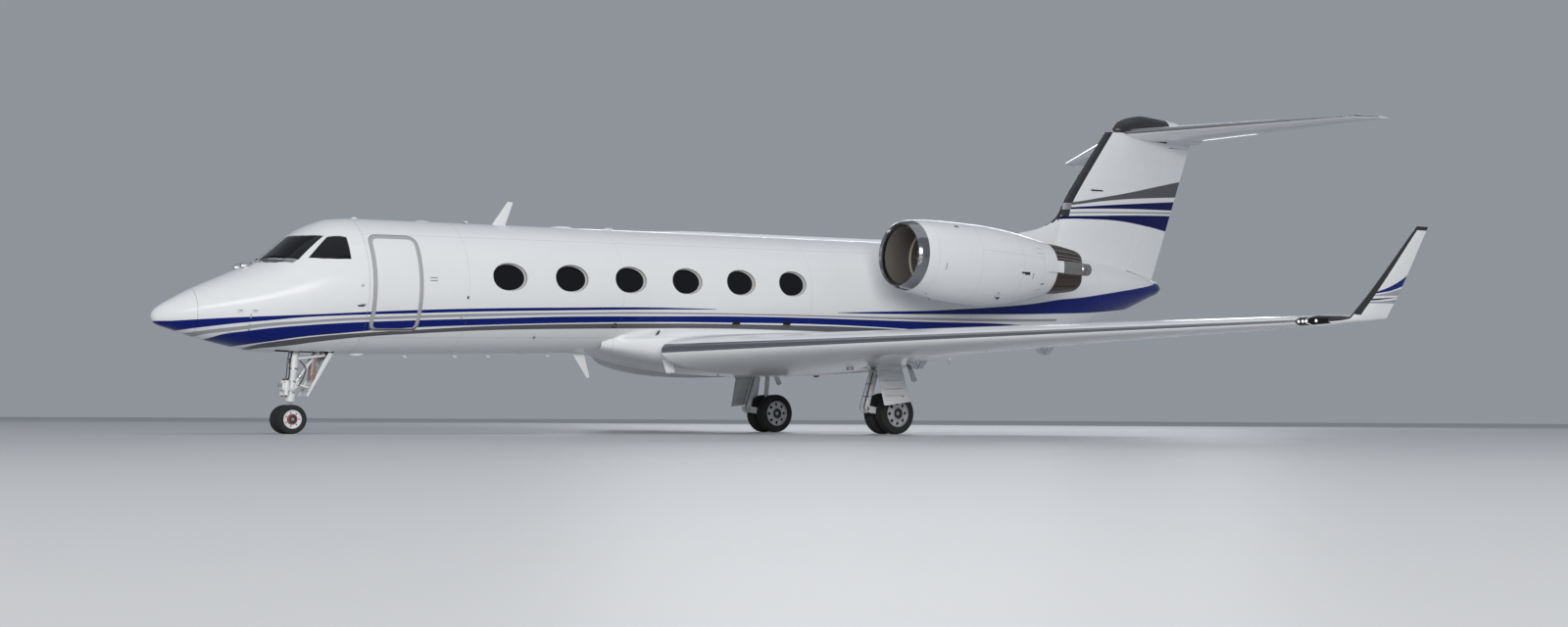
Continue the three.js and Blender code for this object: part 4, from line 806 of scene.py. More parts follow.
# Entry door: the panel, the grey seal band round it, treads, a handle and the hinge pin
seal = door["seal"]
doorMaterials = [bodyWhite, lining, rubber, blackPartsAndGapShade, steel, carpet]
leaf = makePiece("entryDoorPanel", lined(shell(door["front"] - 0.1, door["rear"] + 0.1, 0.06, steps=128, gap=0.1)),
                 doorMaterials, ["entry_door"], "entry_door")
cutWith(leaf, [tagged(slab(doorOutline(-seal, door["bottom"] + 0.010), -1.4, -0.5), 1)], "INTERSECT")
band = makePiece("entryDoorSeal",
                 tagged(shell(door["front"] - 0.1, door["rear"] + 0.1, 0.05, 0.003, 128, gap=0.1), 2), doorMaterials,
                 ["entry_door"], "entry_door")
cutWith(band, [tagged(slab(doorOutline(0, door["bottom"]), -1.4, -0.5), 2)], "INTERSECT")
cutWith(band, [tagged(slab(doorOutline(-seal + 0.002, door["bottom"] + 0.008), -1.4, -0.5), 2)])
hinge = {"z": -0.768, "inset": 0.025, "radius": 0.010}
hingeY = -math.sqrt((bodyRadius - hinge["inset"])**2 - hinge["z"]**2)
middle = (door["front"] + door["rear"]) / 2
steps = [tagged(rod((door["front"] + 0.02, hingeY, hinge["z"]), (door["rear"] - 0.02, hingeY, hinge["z"]),
                    hinge["radius"]), 4)]
treads = {"first": -0.56, "rise": 0.27, "deep": 0.20, "thick": 0.03, "half": 0.30, "count": 5}
for index in range(treads["count"]):
    z = treads["first"] + index * treads["rise"]
    skin = -math.sqrt(1.165**2 - z**2)
    steps += [
        tagged(box((middle - treads["half"], skin, z),
                   (middle + treads["half"], skin + treads["deep"], z + treads["thick"]), 0.006), 4),
        tagged(box((middle - treads["half"] + 0.02, skin + 0.03, z + treads["thick"] - 0.002),
                   (middle + treads["half"] - 0.02, skin + treads["deep"] - 0.02, z + treads["thick"] + 0.003),
                   0.001), 5)]
makePiece("entryDoorSteps", joined(*steps), doorMaterials, ["entry_door"], "entry_door")
handle = roundedBox(3.77, 3.90, 0.03, 0.065, 0.015)
makePiece("entryDoorHandle", disc(handle, -1, -0.0022, 0.003), doorMaterials, ["entry_door"], "entry_door")

# Sill under the door, sloping inwards so that the door's foot swings past it
sillFace = sheet([door["front"] - 0.004 + k * 0.1 for k in range(9)] + [door["rear"] + 0.004], [0, 1],
                 lambda x, t: sidePoint(x, sill + 0.002 + 0.028 * t, -1, 0.006 + 0.048 * t))
makePiece("entrySill", thickened(sillFace, 0.004), [rubber], ["cabin_side_left"])

# Floor, bulkheads and linings
floorLevel = -0.740
rooms = {"front": 3.312, "rear": 17.088, "thick": 0.040, "under": -0.84, "inset": 0.062}


def bulkhead(x):
    ring = [onBody(x, math.tau * k / 64, rooms["inset"]) for k in range(64)]
    return slab([(p.y, max(p.z, rooms["under"])) for p in ring], x, x + rooms["thick"], "x")


deck = slab([(rooms["front"], -1.0), (rooms["rear"], -1.0), (rooms["rear"], 1.0), (rooms["front"], 1.0)],
            rooms["under"], floorLevel - 0.004, "z")
deckPiece = makePiece("cabinFloor", deck, [lining, carpet, trim], ["cabin_floor"])
cutWith(deckPiece, [slab([(door["front"] - 0.01, -1.0), (door["rear"] + 0.01, -1.0), (door["rear"] + 0.01, -0.80),
                          (door["front"] - 0.01, -0.80)],
                         -0.9, -0.7, "z")])
cutWith(deckPiece, [bodySolid(3.2, 17.2, rooms["inset"])], "INTERSECT")
aisle = box((rooms["front"] + 0.045, -0.78, floorLevel - 0.004), (rooms["rear"] - 0.045, 0.86, floorLevel), 0.002)
makePiece("cabinCarpet", tagged(aisle, 1), [lining, carpet, trim], ["cabin_floor"])
frontWall = makePiece("frontBulkhead", bulkhead(rooms["front"]), [lining, trim], ["cabin_floor"])
cutWith(frontWall, [tagged(slab(roundedBox(-0.32, 0.32, floorLevel, 0.98, 0.08), 3.2, 3.4, "x"), 1)])
makePiece("rearBulkhead", bulkhead(rooms["rear"] - rooms["thick"]), [lining], ["cabin_floor"])

# Flight deck: panel with screens, pedestal, two seats with yokes
panel = makePiece("instrumentPanel", box((1.57, -0.80, -0.95), (1.76, 0.80, 0.16), 0.04), [instrument],
                  ["flight_deck"])
cutWith(panel, [bodySolid(1.3, 2.2, 0.064)], "INTERSECT")
deckParts = [
    box((1.76, -0.13, -0.70), (2.25, 0.13, -0.26), 0.03),
    tagged(box((1.93, -0.72, -0.735), (3.29, 0.72, -0.692), 0.004), 1)]
for side in (-1, 1):
    middleY = side * 0.5
    deckParts += [
        tagged(box((2.36, middleY - 0.235, -0.45), (2.85, middleY + 0.235, -0.25), 0.05, 3), 2),
        box((2.42, middleY - 0.16, -0.70), (2.78, middleY + 0.16, -0.44), 0.02),
        tagged(box((2.80, middleY - 0.22, -0.28), (2.925, middleY + 0.22, 0.20), 0.05, 3), 2),
        tagged(box((2.82, middleY - 0.13, 0.22), (2.91, middleY + 0.13, 0.41), 0.04, 3), 2),
        tube([(1.86, middleY, -0.62), (1.90, middleY, -0.35), (1.96, middleY, -0.18)], 0.022),
        tube([(1.97, middleY - 0.16, -0.06), (1.96, middleY - 0.14, -0.17), (1.96, middleY, -0.19),
              (1.96, middleY + 0.14, -0.17), (1.97, middleY + 0.16, -0.06)], 0.014)]
    for across in (0.17, 0.44):
        deckParts.append(tagged(box((1.755, side * across - 0.125, -0.20), (1.768, side * across + 0.125, 0.04),
                                    0.004), 3))
makePiece("flightDeck", joined(*deckParts), [instrument, carpet, trim, glass], ["flight_deck"])

# Rear fuselage
aft = lined(shell(nose["cabinEnd"] + 0.004, nose["coneStart"] - 0.004, 0.035, steps=96))
makePiece("rearFuselage", aft, skinMaterials, ["aft_fuselage"])
cone = shell(nose["coneStart"], 24.335, 0.03, steps=96, gap=0.3)
makePiece("tailCone", cone, skinMaterials, ["tail_cone"])

fairingTable = [
    (8.10, 0.640, -1.150, -0.96, -0.86), (8.60, 0.900, -1.270, -0.93, -0.76), (9.10, 1.190, -1.390, -0.90, -0.56),
    (9.70, 1.350, -1.500, -0.86, -0.28), (11.00, 1.350, -1.650, -0.83, -0.25), (12.80, 1.350, -1.705, -0.87, -0.28),
    (15.00, 1.350, -1.640, -1.00, -0.38), (16.10, 1.180, -1.440, -0.96, -0.50), (17.00, 0.800, -1.180, -0.90, -0.60),
]
fairingCurves = curvesOf(fairingTable)


# Half a section of the fairing from the keel up, as smoothed (y, z) corners
def fairingRing(x, count=14):
    half, keel, shoulder, top = (curve(x) for curve in fairingCurves)
    top = min(top, -0.38)
    rise = min(0.29, (shoulder - 0.06 - keel) * 0.8)
    between = (shoulder + top) / 2 - 0.03
    blend = math.sqrt(bodyRadius**2 - between**2) + 0.055 * half / 1.35
    corners = [(0, keel), (0.55 * half, keel + 0.006), (0.85 * half, keel + 0.24 * rise),
               (0.97 * half, keel + 0.59 * rise), (half, keel + rise), (half, shoulder - 0.06),
               (min(half, blend), between), (min(half, math.sqrt(bodyRadius**2 - top**2) - 0.012), top)]
    marks = range(len(corners))
    bends = [curveThrough(marks, [c[k] for c in corners]) for k in (0, 1)]
    return [tuple(bend(7 * k / (count * 2)) for bend in bends) for k in range(count * 2 + 1)]


fairingXs = [8.10, 8.15, 8.22, 8.32, 8.45, 8.6, 8.8, 9.0, 9.25, 9.5, 9.8, 10.2, 10.7, 11.3, 12.0, 12.8, 13.5, 14.2,
             14.8, 15.2, 15.6, 15.9, 16.2, 16.5, 16.8, 17.0]


def onFairing(x, across):
    ring = fairingRing(x)
    y, z = ring[abs(across)]
    return Vector((x, math.copysign(y, across), z))


hull = sheet(fairingXs, range(-28, 29), onFairing, "solid")
makePiece("wingRootFairing", hull, [bodyWhite], ["wing_root_fairing"], smooth=50)
print("stage 3: fuselage")


# Wings
def thickAt(part, ratio):
    return 5 * ratio * (0.2969 * math.sqrt(part) - 0.126 * part - 0.3516 * part**2 + 0.2843 * part**3
                        - 0.1015 * part**4)


roundMarks = [k / 26 for k in range(-26, 27)] + [-1.0]  # below nought is the underside


def foilPoint(lead, chord, ratio, incidence, up, mark):
    turn = math.radians(incidence)
    part = mark * mark
    thick = math.copysign(thickAt(part, ratio) * chord + 0.002 * min(1, abs(mark) * 8), mark)
    return Vector(lead) + Vector((math.cos(turn), 0, -math.sin(turn))) * part * chord + Vector(up) * thick


# Material 1 on the leading edge, up to a mark above and one below, and 0 behind it
def edged(lip, under):
    def look(row, column):
        middle = (roundMarks[column] + roundMarks[column + 1]) / 2
        return 1 if -under < middle < lip and column < 52 else 0
    return look


wingPlan = {"x": 8.990, "y": 1.35, "z": -1.190, "sweep": 0.617, "dihedral": 0.016, "length": 9.95, "kink": 3.9,
            "incidence": 3, "washout": 4.5, "thick": 0.125, "thinning": 0.025}


def wingLead(y):
    return wingPlan["x"] + wingPlan["sweep"] * (y - wingPlan["y"])


def wingTrail(y):
    out = max(y, wingPlan["kink"])
    return wingLead(out) + 5.940 - 0.362 * out


# Height of the leading edge, incidence in degrees and thickness ratio at a distance out
def wingSection(y):
    part = (y - wingPlan["y"]) / wingPlan["length"]
    return (wingPlan["z"] + wingPlan["dihedral"] * (y - wingPlan["y"]),
            wingPlan["incidence"] - wingPlan["washout"] * part,
            wingPlan["thick"] - wingPlan["thinning"] * part)


def wingMid(x, y, side):
    z, incidence, ratio = wingSection(y)
    return Vector((x, side * y, z - (x - wingLead(y)) * math.tan(math.radians(incidence))))


def onWing(y, mark, side):
    z, incidence, ratio = wingSection(y)
    return foilPoint((wingLead(y), side * y, z), wingTrail(y) - wingLead(y), ratio, incidence, (0, 0, 1), mark)


# x aft, y along the hinge, z through the thickness
def hingeFrame(start, end, up):
    along = (end - start).normalized()
    aftward = along.cross(Vector(up)).normalized()
    if aftward.x < 0:
        aftward.negate()
    thick = aftward.cross(along).normalized()
    if thick.dot(Vector(up)) < 0:
        thick.negate()
    turn = Matrix((aftward, along, thick)).transposed().to_4x4()
    return Matrix.Translation(start) @ turn


def inFrame(mesh, frameMatrix):
    bmesh.ops.transform(mesh, matrix=frameMatrix, verts=mesh.verts)
    bmesh.ops.recalc_face_normals(mesh, faces=mesh.faces)
    return mesh


# What lies behind a hinge line, with a round nose that tapers along it
def noseBlock(length, first, last, index=0):
    reach, deep = 2.6, 0.6
    marks = [math.radians(90 + 180 * k / 14) for k in range(15)]

    def spot(along, mark):
        if isinstance(mark, tuple):
            return Vector((mark[0], along, mark[1]))
        radius = first + (last - first) * along / length
        return Vector((radius * math.cos(mark), along, radius * math.sin(mark)))
    section = [(reach, deep), (0, deep)] + marks + [(0, -deep), (reach, -deep), (reach, deep)]
    return tagged(sheet([0, length], section, spot, "solid"), index)


def frameBox(low, high, index=0):
    return tagged(box(low, high), index)


movingGap = 0.006
surfaceMaterials = [white, polishedDarkReflection, blackPartsAndGapShade, steel, rubber]
wingSlots = {"aileronIn": (15.070, 6.860), "aileronOut": (16.240, 10.500), "noseIn": 0.070, "noseOut": 0.045,
             "flapIn": (14.230, 1.560), "flapOut": (14.930, 6.560), "drop": 0.190, "brackets": (0.900, 4.100)}
wingYs = [1.351, 1.6, 2.0, 2.5, 3.0, 3.5, 3.9, 4.4, 5.0, 5.6, 6.2, 6.8, 7.4, 8.0, 8.6, 9.2, 9.8, 10.4, 10.9, 11.299]


# Cuts a control surface out of its wing: the moving part behind the hinge and the room for it
def splitSurface(whole, movingPiece, start, end, up, first, last):
    frameMatrix = hingeFrame(start, end, up)
    length = (end - start).length
    cutWith(movingPiece, [inFrame(noseBlock(length, first, last), frameMatrix)], "INTERSECT")
    reach = max(first, last) + movingGap
    cutWith(whole, [inFrame(frameBox((-reach, -movingGap, -0.6), (3.1, length + movingGap, 0.6)), frameMatrix)])


def wing(side, word):
    def spot(y, mark):
        return onWing(y, mark, side)
    # Leading edge in the darkened polished metal: a painted dark reflection
    whole = makePiece(f"wingSkin_{word}", sheet(wingYs, roundMarks, spot, "solid", edged(0.12, 0.03)), surfaceMaterials,
                      [f"wing_{word}"])
    inner, outer = (wingMid(*wingSlots[key], side) for key in ("aileronIn", "aileronOut"))
    aileron = makePiece(f"aileronSkin_{word}", sheet(wingYs, roundMarks, spot, "solid"), surfaceMaterials,
                        [f"aileron_{word}"], f"aileron_{word}_body")
    splitSurface(whole, aileron, inner, outer, (0, 0, 1), wingSlots["noseIn"], wingSlots["noseOut"])

    front, frontOuter = (wingMid(*wingSlots[key], side) for key in ("flapIn", "flapOut"))
    frameMatrix = hingeFrame(front, frontOuter, (0, 0, 1))
    length = (frontOuter - front).length
    flap = makePiece(f"flapSkin_{word}", sheet(wingYs, roundMarks, spot, "solid"), surfaceMaterials,
                     [f"flap_{word}"], f"flap_{word}_body")
    cutWith(flap, [inFrame(frameBox((0, 0, -0.5), (3, length, 0.5)), frameMatrix)], "INTERSECT")
    # The flap's cove and the gear recess are cut in near black: painted shade
    recess = box((13.20, side * 2.085 - 0.075, -2), (14.14, side * 2.085 + 0.075, -1.3415))
    cutWith(whole, [inFrame(frameBox((-movingGap, -movingGap, -0.5), (3, length + movingGap, 0.5), 2), frameMatrix),
                    tagged(recess, 2)])
    flapBrackets(side, word, frameMatrix, front)
    wingFittings(side, word)


# Canoe fairings over each flap hinge: a fixed front half and a rear half that moves with the flap
def flapBrackets(side, word, frameMatrix, front):
    fixedParts, movingParts = [], []
    drop = wingSlots["drop"]
    fixedShape = [(-0.42, -0.06), (-0.04, -0.06), (-0.012, -0.13), (0.038, -0.18), (0.038, -0.228), (-0.06, -0.228)]
    movingShape = [(0.02, -0.06), (0.26, -0.06), (0.06, -0.224), (-0.034, -0.224), (-0.034, -0.175), (0.014, -0.135)]
    for start in wingSlots["brackets"]:
        fixedParts.append(inFrame(slab(fixedShape, start, start + 0.040, "y", 0.004), frameMatrix))
        arm = start + 0.045
        movingParts.append(inFrame(slab(movingShape, arm, arm + 0.040, "y", 0.004), frameMatrix))
        pin = [frameMatrix @ Vector((0, start + reach, -drop)) for reach in (0.004, 0.080)]
        movingParts.append(tagged(rod(*pin, 0.016), 3))
    makePiece(f"flapBracket_{word}", joined(*fixedParts), surfaceMaterials, [f"wing_{word}"])
    makePiece(f"flapArm_{word}", joined(*movingParts), surfaceMaterials, [f"flap_{word}"], f"flap_{word}_body")


# Jacking pad, static wicks and two round covers under the wing
def wingFittings(side, word):
    parts = []
    pad = wingMid(12.600, 2.500, side)
    parts.append(tagged(rod(pad, (12.6, side * 2.5, pad.z - thickAt(0.5, 0.122) * 5.0 - 0.055), 0.070, steps=24), 3))

    def wick(y):
        tip = wingMid(wingTrail(y) - 0.01, y, side)
        return tagged(tube([tip, tip + Vector((0.13, 0, -0.004))], 0.0035, 6, False), 2)
    parts.append(wick(10.8))
    makePiece(f"aileronWicks_{word}", joined(*[wick(y) for y in (7.6, 8.7, 9.8)]), surfaceMaterials,
              [f"aileron_{word}"], f"aileron_{word}_body")
    for y in (4.6, 8.9):
        base = onWing(y, -0.62, side)
        parts.append(disc3(base + Vector((0, 0, 0.002)), (0, 0, -1), 0.075, 0.004))
    makePiece(f"wingFittings_{word}", joined(*parts), surfaceMaterials, [f"wing_{word}"])


def disc3(place, aim, radius, thickness, steps=24):
    return rod(place, Vector(place) + Vector(aim) * thickness, radius, steps=steps, bevel=0.04)


for side, word in sides:
    wing(side, word)

# Winglets: leading edge, chord, thickness ratio and lean of the section
wingletTable = [
    (15.129, 11.300, -1.031, 1.852, 0.100, 0), (15.610, 11.410, -1.012, 1.370, 0.100, 4),
    (15.950, 11.510, -0.985, 1.020, 0.090, 38), (16.090, 11.560, -0.850, 0.950, 0.080, 77),
    (17.450, 11.850, 0.560, 0.315, 0.070, 78),
]
wingletMarks = [0, 0.49, 0.85, 1.05, 3.03]
wingletCurves = [curveThrough(wingletMarks, [row[k] for row in wingletTable]) for k in range(6)]


def onWinglet(step, mark, side):
    x, y, z, chord, ratio, lean = (curve(step) for curve in wingletCurves)
    angle = math.radians(lean)
    incidence = -1.5 * min(1, max(0, (wingletMarks[2] - step) / 0.36))
    return foilPoint((x, side * y, z), chord, ratio, incidence, (0, -side * math.sin(angle), math.cos(angle)), mark)


wingletBands = [
    ("blue", [(-0.1, 0.380, 0.381), (0.0, 0.384, 0.388), (0.19, 0.410, 0.448), (0.36, 0.433, 0.502),
              (0.52, 0.457, 0.581), (0.64, 0.490, 0.669), (0.71, 0.512, 0.743), (0.80, 0.548, 0.850),
              (0.95, 0.600, 1.050)]),
    ("grey", [(-0.1, 0.353, 0.354), (0.0, 0.355, 0.358), (0.19, 0.364, 0.383), (0.52, 0.375, 0.432),
              (0.81, 0.381, 0.505), (1.0, 0.385, 0.555)]),
    ("navy", [(-0.1, 0.283, 0.302), (0.0, 0.285, 0.306), (0.19, 0.291, 0.320), (0.46, 0.309, 0.335),
              (0.69, 0.333, 0.347), (0.90, 0.350, 0.353)]),
    ("grey", [(-0.1, 0.245, 0.258), (0.0, 0.245, 0.261), (0.19, 0.245, 0.271), (0.52, 0.249, 0.284),
              (0.84, 0.252, 0.318), (1.0, 0.253, 0.340)]),
]


# Bands across the foot of the winglet, by height and distance behind the leading edge
def wingletPaint(tree, place, base):
    axes = node(tree, "ShaderNodeSeparateXYZ", {0: place}).outputs
    level = maths(tree, "ADD", axes[2], 0.985)
    back = maths(tree, "SUBTRACT", axes[0], maths(tree, "ADD", maths(tree, "MULTIPLY", level, 0.971), 15.95))
    window = {"from": -0.5, "length": 2.5, "low": -0.5, "height": 2.0}
    return banded(tree, base, wingletBands, back, level, (-0.2, 1.6), window)


wingletWhite = stripedFinish("wingletPaint", 0.14, 1.0, wingletPaint)
wingletSteps = evenly(0, 0.765, 9) + evenly(0.85, 1.01, 4) + evenly(1.05, 3.03, 22)
for side, word in sides:
    # Winglet edges near black: a painted dark reflection
    skin = sheet(wingletSteps, roundMarks, lambda step, mark: onWinglet(step, mark, side), "solid",
                 lambda row, column: 2 if row > 35 else edged(0.42, 0.42 if row > 12 else 0.10)(row, column))
    makePiece(f"wingletSkin_{word}", skin, [wingletWhite, darkReflectionAndShade, instrument], [f"winglet_{word}"])
print("stage 4: wings")


# Tail
finBands = [
    ("darkGrey", [(-0.3, 2.24, 2.32), (0.0, 2.27, 2.345), (0.8, 2.39, 2.49), (1.7, 2.50, 2.67), (2.6, 2.58, 2.88),
                  (3.5, 2.65, 3.08), (4.0, 2.68, 3.18)]),
    ("navy", [(-0.3, 2.15, 2.20), (0.0, 2.17, 2.22), (1.7, 2.255, 2.37), (3.5, 2.315, 2.53), (4.0, 2.33, 2.57)]),
    ("grey", [(-0.3, 2.04, 2.08), (0.0, 2.06, 2.10), (1.7, 2.14, 2.18), (3.6, 2.22, 2.27), (4.0, 2.23, 2.29)]),
    ("navy", [(-0.3, 1.90, 1.98), (0.0, 1.93, 2.00), (0.9, 1.955, 2.04), (1.8, 1.955, 2.09), (2.8, 1.89, 2.14),
              (3.7, 1.80, 2.18), (4.2, 1.74, 2.20)]),
]


def finPaint(tree, place, base):
    axes = node(tree, "ShaderNodeSeparateXYZ", {0: place}).outputs
    back = maths(tree, "SUBTRACT", axes[0], maths(tree, "ADD", maths(tree, "MULTIPLY", axes[2], 0.81), 19.38))
    window = {"from": -0.5, "length": 5.0, "low": 1.5, "height": 2.0}
    return banded(tree, base, finBands, back, axes[2], (-0.3, 4.3), window)


finWhite = stripedFinish("finPaint", 0.16, 0.6, finPaint)
finMaterials = [finWhite, darkReflectionAndShade, blackPartsAndGapShade, steel]
finLead = curveThrough([0.35, 1.95, 2.15, 2.32, 2.6, 3.3, 4.14],
                       [19.663, 20.960, 21.030, 21.105, 21.318, 21.907, 22.640])


def onFin(z, mark):
    lead, trail = finLead(z), 23.868 + 0.458 * z
    return foilPoint((lead, 0, z), trail - lead, 0.1, 0, (0, 1, 0), mark)


def onTail(y, mark):
    across = abs(y)
    lead, trail = 23.060 + 0.63 * across + 2.8 * max(0, across - 4.68), 25.960 + 0.226 * across
    return foilPoint((lead, y, 4.140), trail - lead, 0.1, 0, (0, 0, 1), mark)


# Leading edge in near black as a painted dark reflection, with a bare metal patch near its foot
def finStripes(row, column):
    return (3 if row == 8 else 1) * edged(0.24, 0.24)(row, column) if row > 6 else 0


finZs = [0.35, 0.6, 0.85, 1.1, 1.35, 1.6, 1.82, 2.0, 2.17] + evenly(2.33, 4.14, 9)
rudderLow, rudderHigh = Vector((23.160, 0, 0.800)), Vector((24.830, 0, 3.870))
fin = makePiece("finSkin", sheet(finZs, roundMarks, onFin, "solid", finStripes), finMaterials, ["fin"])
rudder = makePiece("rudderSkin", sheet(finZs, roundMarks, onFin, "solid"), finMaterials, ["rudder"], "rudder_body")
rudderFrame = hingeFrame(rudderLow, rudderHigh, (0, 1, 0))
rudderLength = (rudderHigh - rudderLow).length


def rudderBlock(first, last):
    block = noseBlock(rudderLength + 1.2, first, last, 2)
    bmesh.ops.translate(block, vec=(0, -0.6, 0), verts=block.verts)
    return inFrame(block, rudderFrame)


cutWith(rudder, [tagged(rudderBlock(0.116, 0.080), 0)], "INTERSECT")
cutWith(rudder, [box((20, -1, 3.870), (28, 1, 5))])
cutWith(rudder, [bodySolid(21.0, 24.335, -0.024)])
cutWith(rudder, [box((20, -1, -1), (24.6, 1, 0.50))])
# The fin's faces at the rudder gap are cut in near black: painted shade
cutWith(fin, [rudderBlock(0.123, 0.087)])
cap = makePiece("finCap", sheet(evenly(3.906, 4.140, 3), roundMarks, onFin, "solid"), finMaterials, ["fin"])
cutWith(cap, [rudderBlock(0.123, 0.087)], "INTERSECT")

tailYs = [-4.875, -4.80, -4.74] + evenly(-4.68, 4.68, 28) + [4.74, 4.80, 4.875]
tailplane = makePiece("tailplaneSkin", sheet(tailYs, roundMarks, onTail, "solid", edged(0.20, 0.08)), surfaceMaterials,
                      ["tailplane"])
for side, word in sides:
    start, end = Vector((25.160, side * 0.400, 4.140)), Vector((26.420, side * 4.480, 4.140))
    elevator = makePiece(f"elevatorSkin_{word}", sheet(tailYs, roundMarks, onTail, "solid"), surfaceMaterials,
                         [f"elevator_{word}"], f"elevator_{word}_body")
    splitSurface(tailplane, elevator, start, end, (0, 0, 1), 0.062, 0.034)

bulletTable = [
    (22.920, 4.270, 4.200, 0.030, 4.230), (23.080, 4.420, 4.060, 0.140, 4.230), (23.400, 4.545, 3.985, 0.215, 4.230),
    (23.900, 4.630, 3.960, 0.265, 4.230), (24.700, 4.590, 3.965, 0.265, 4.230), (25.500, 4.460, 4.000, 0.215, 4.230),
    (26.100, 4.330, 4.080, 0.120, 4.210), (26.260, 4.240, 4.160, 0.040, 4.200),
]
dorsalTable = [
    (8.600, 1.186, 0.700, 0.120, 0.900), (9.300, 1.194, 0.700, 0.150, 0.900), (10.600, 1.246, 0.700, 0.150, 0.900),
    (16.500, 1.250, 0.700, 0.160, 0.900), (18.000, 1.285, 0.700, 0.165, 0.900), (19.100, 1.420, 0.700, 0.170, 0.900),
    (19.720, 1.575, 0.700, 0.165, 0.900), (20.200, 1.665, 0.700, 0.155, 0.900), (20.500, 1.765, 0.700, 0.145, 0.900),
    (20.700, 1.865, 0.700, 0.130, 0.900), (20.870, 1.995, 0.700, 0.115, 0.900), (20.960, 2.110, 0.700, 0.100, 0.900),
    (21.050, 2.245, 0.700, 0.080, 0.900), (21.140, 2.360, 0.700, 0.045, 0.900),
]


def podSheet(table, stations, stripes):
    curves = curvesOf(table)

    def spot(x, turn):
        top, keel, half, wide = (curve(x) for curve in curves)
        rise = top - wide if math.sin(turn) > 0 else wide - keel
        return Vector((x, half * math.cos(turn), wide + rise * math.sin(turn)))
    return sheet(stations, evenly(0, math.tau, 40), spot, "solid", stripes)


bulletXs = [22.92, 22.94, 22.97, 23.01, 23.06, 23.12, 23.2, 23.3, 23.42, 23.6, 23.8, 24.0, 24.3, 24.7, 25.1, 25.5,
            25.8, 26.0, 26.1, 26.18, 26.23, 26.26]
# The bullet's front rows are near black: painted dark reflection and painted shade
makePiece("finBullet", podSheet(bulletTable, bulletXs, lambda row, column: 1 if row < 13 else 0), finMaterials,
          ["fin_bullet"], smooth=50)
dorsalXs = [8.6, 8.8, 9.1] + evenly(9.4, 17.9, 17) + [18.2, 18.5, 18.8, 19.1, 19.4, 19.7, 20.0, 20.2, 20.4, 20.5,
                                                      20.6, 20.7, 20.8, 20.87, 20.93, 20.98, 21.03, 21.08, 21.14]
ridgeStart = dorsalXs.index(20.5)


# The ridge of the dorsal fairing's rear is near black: a painted dark reflection
def ridgeStripes(row, column):
    low = 9 if row < ridgeStart + 2 else (8 if row < ridgeStart + 4 else 7)
    return 1 if row >= ridgeStart and low <= column < 20 - low else 0


makePiece("dorsalFairing", podSheet(dorsalTable, dorsalXs, ridgeStripes), finMaterials, ["dorsal_fairing"], smooth=50)
print("stage 5: tail")


# Engines
engineSpot = {"x": 14.070, "y": 2.300, "z": 0.710, "tilt": 2.6}
nacelleTable = [
    (0.000, 0.640, -0.640, 0.640), (0.060, 0.682, -0.682, 0.682), (0.220, 0.718, -0.718, 0.718),
    (0.560, 0.752, -0.790, 0.750), (1.200, 0.775, -0.890, 0.770), (2.000, 0.772, -0.930, 0.768),
    (2.700, 0.730, -0.880, 0.735), (3.330, 0.655, -0.760, 0.665), (3.950, 0.560, -0.600, 0.565),
]
nacelleCurves = curvesOf(nacelleTable)
ductWall = [(0.020, 0.618), (0.050, 0.603), (0.120, 0.585), (0.220, 0.574), (0.380, 0.566), (0.745, 0.565),
            (0.800, 0.565), (1.100, 0.565), (1.500, 0.680), (2.600, 0.665), (3.330, 0.590), (3.945, 0.512)]
ductMetal = finish("intakeDuct", (0.17, 0.155, 0.145), 0.42, metallic=0.2, dirt=0.35, scale=3.0)
hotMetal = finish("exhaustMetal", (0.10, 0.075, 0.060), 0.34, metallic=0.7, dirt=0.55, scale=4.0,
                  dirtColour=(0.02, 0.018, 0.017))
doorMetal = finish("reverserMetal", (0.36, 0.35, 0.34), 0.24, metallic=0.8, dirt=0.5, scale=3.0)
# Fan blades lightened and made nearly non-metallic: painted light where little of the lamps' light reaches into the
# intake
titaniumPaintedLight = finish("fanTitaniumPaintedLight", (0.80, 0.78, 0.74), 0.35, metallic=0.15, dirt=0.3, scale=5.0)
seamGrey = finish("seamGrey", (0.55, 0.56, 0.57), 0.4)
# Beige rub strip of the fan case, its colour lightened as painted light
fanRingPaintedLight = finish("fanCaseRingPaintedLight", (0.90, 0.80, 0.62), 0.35, dirt=0.2)
nacelleMaterials = [white, polishedDarkReflection, ductMetal, doorMetal, hotMetal, blackPartsAndGapShade, fanRingPaintedLight, seamGrey]


def onNacelle(a, turn, inset=0.0):
    top, keel, half = (curve(max(a, 0)) for curve in nacelleCurves)
    rise = top if math.sin(turn) > 0 else -keel
    return Vector((a, (half - inset) * math.cos(turn), (rise - inset) * math.sin(turn)))


def engineFrame(side):
    turn = Matrix.Rotation(math.radians(engineSpot["tilt"]), 4, "Y")
    return Matrix.Translation((engineSpot["x"], side * engineSpot["y"], engineSpot["z"])) @ turn


# A closed path of the section carried all the way round
def ringSolid(path, spot, steps, stripes=None):
    return sheet(path + path[:1], evenly(0, math.tau, steps), spot, "seam", stripes)


# A patch standing just off the nacelle skin
def skinPatch(a0, a1, turn0, turn1, lift, thickness, index, rows, columns):
    mesh = sheet(evenly(a0, a1, rows), evenly(turn0, turn1, columns), lambda a, turn: onNacelle(a, turn, -lift))
    return thickened(mesh, thickness, index, lambda middle: middle * Vector((0, 1, 1)))


# A point just off the jet pipe
def jetSkin(a, turn, lift):
    radius = pipeLine(a) + lift
    return Vector((a, radius * math.cos(turn), radius * math.sin(turn)))


pipeLine = curveThrough([3.95, 4.2, 4.45, 4.67, 4.83, 4.88], [0.546, 0.535, 0.514, 0.488, 0.462, 0.452])


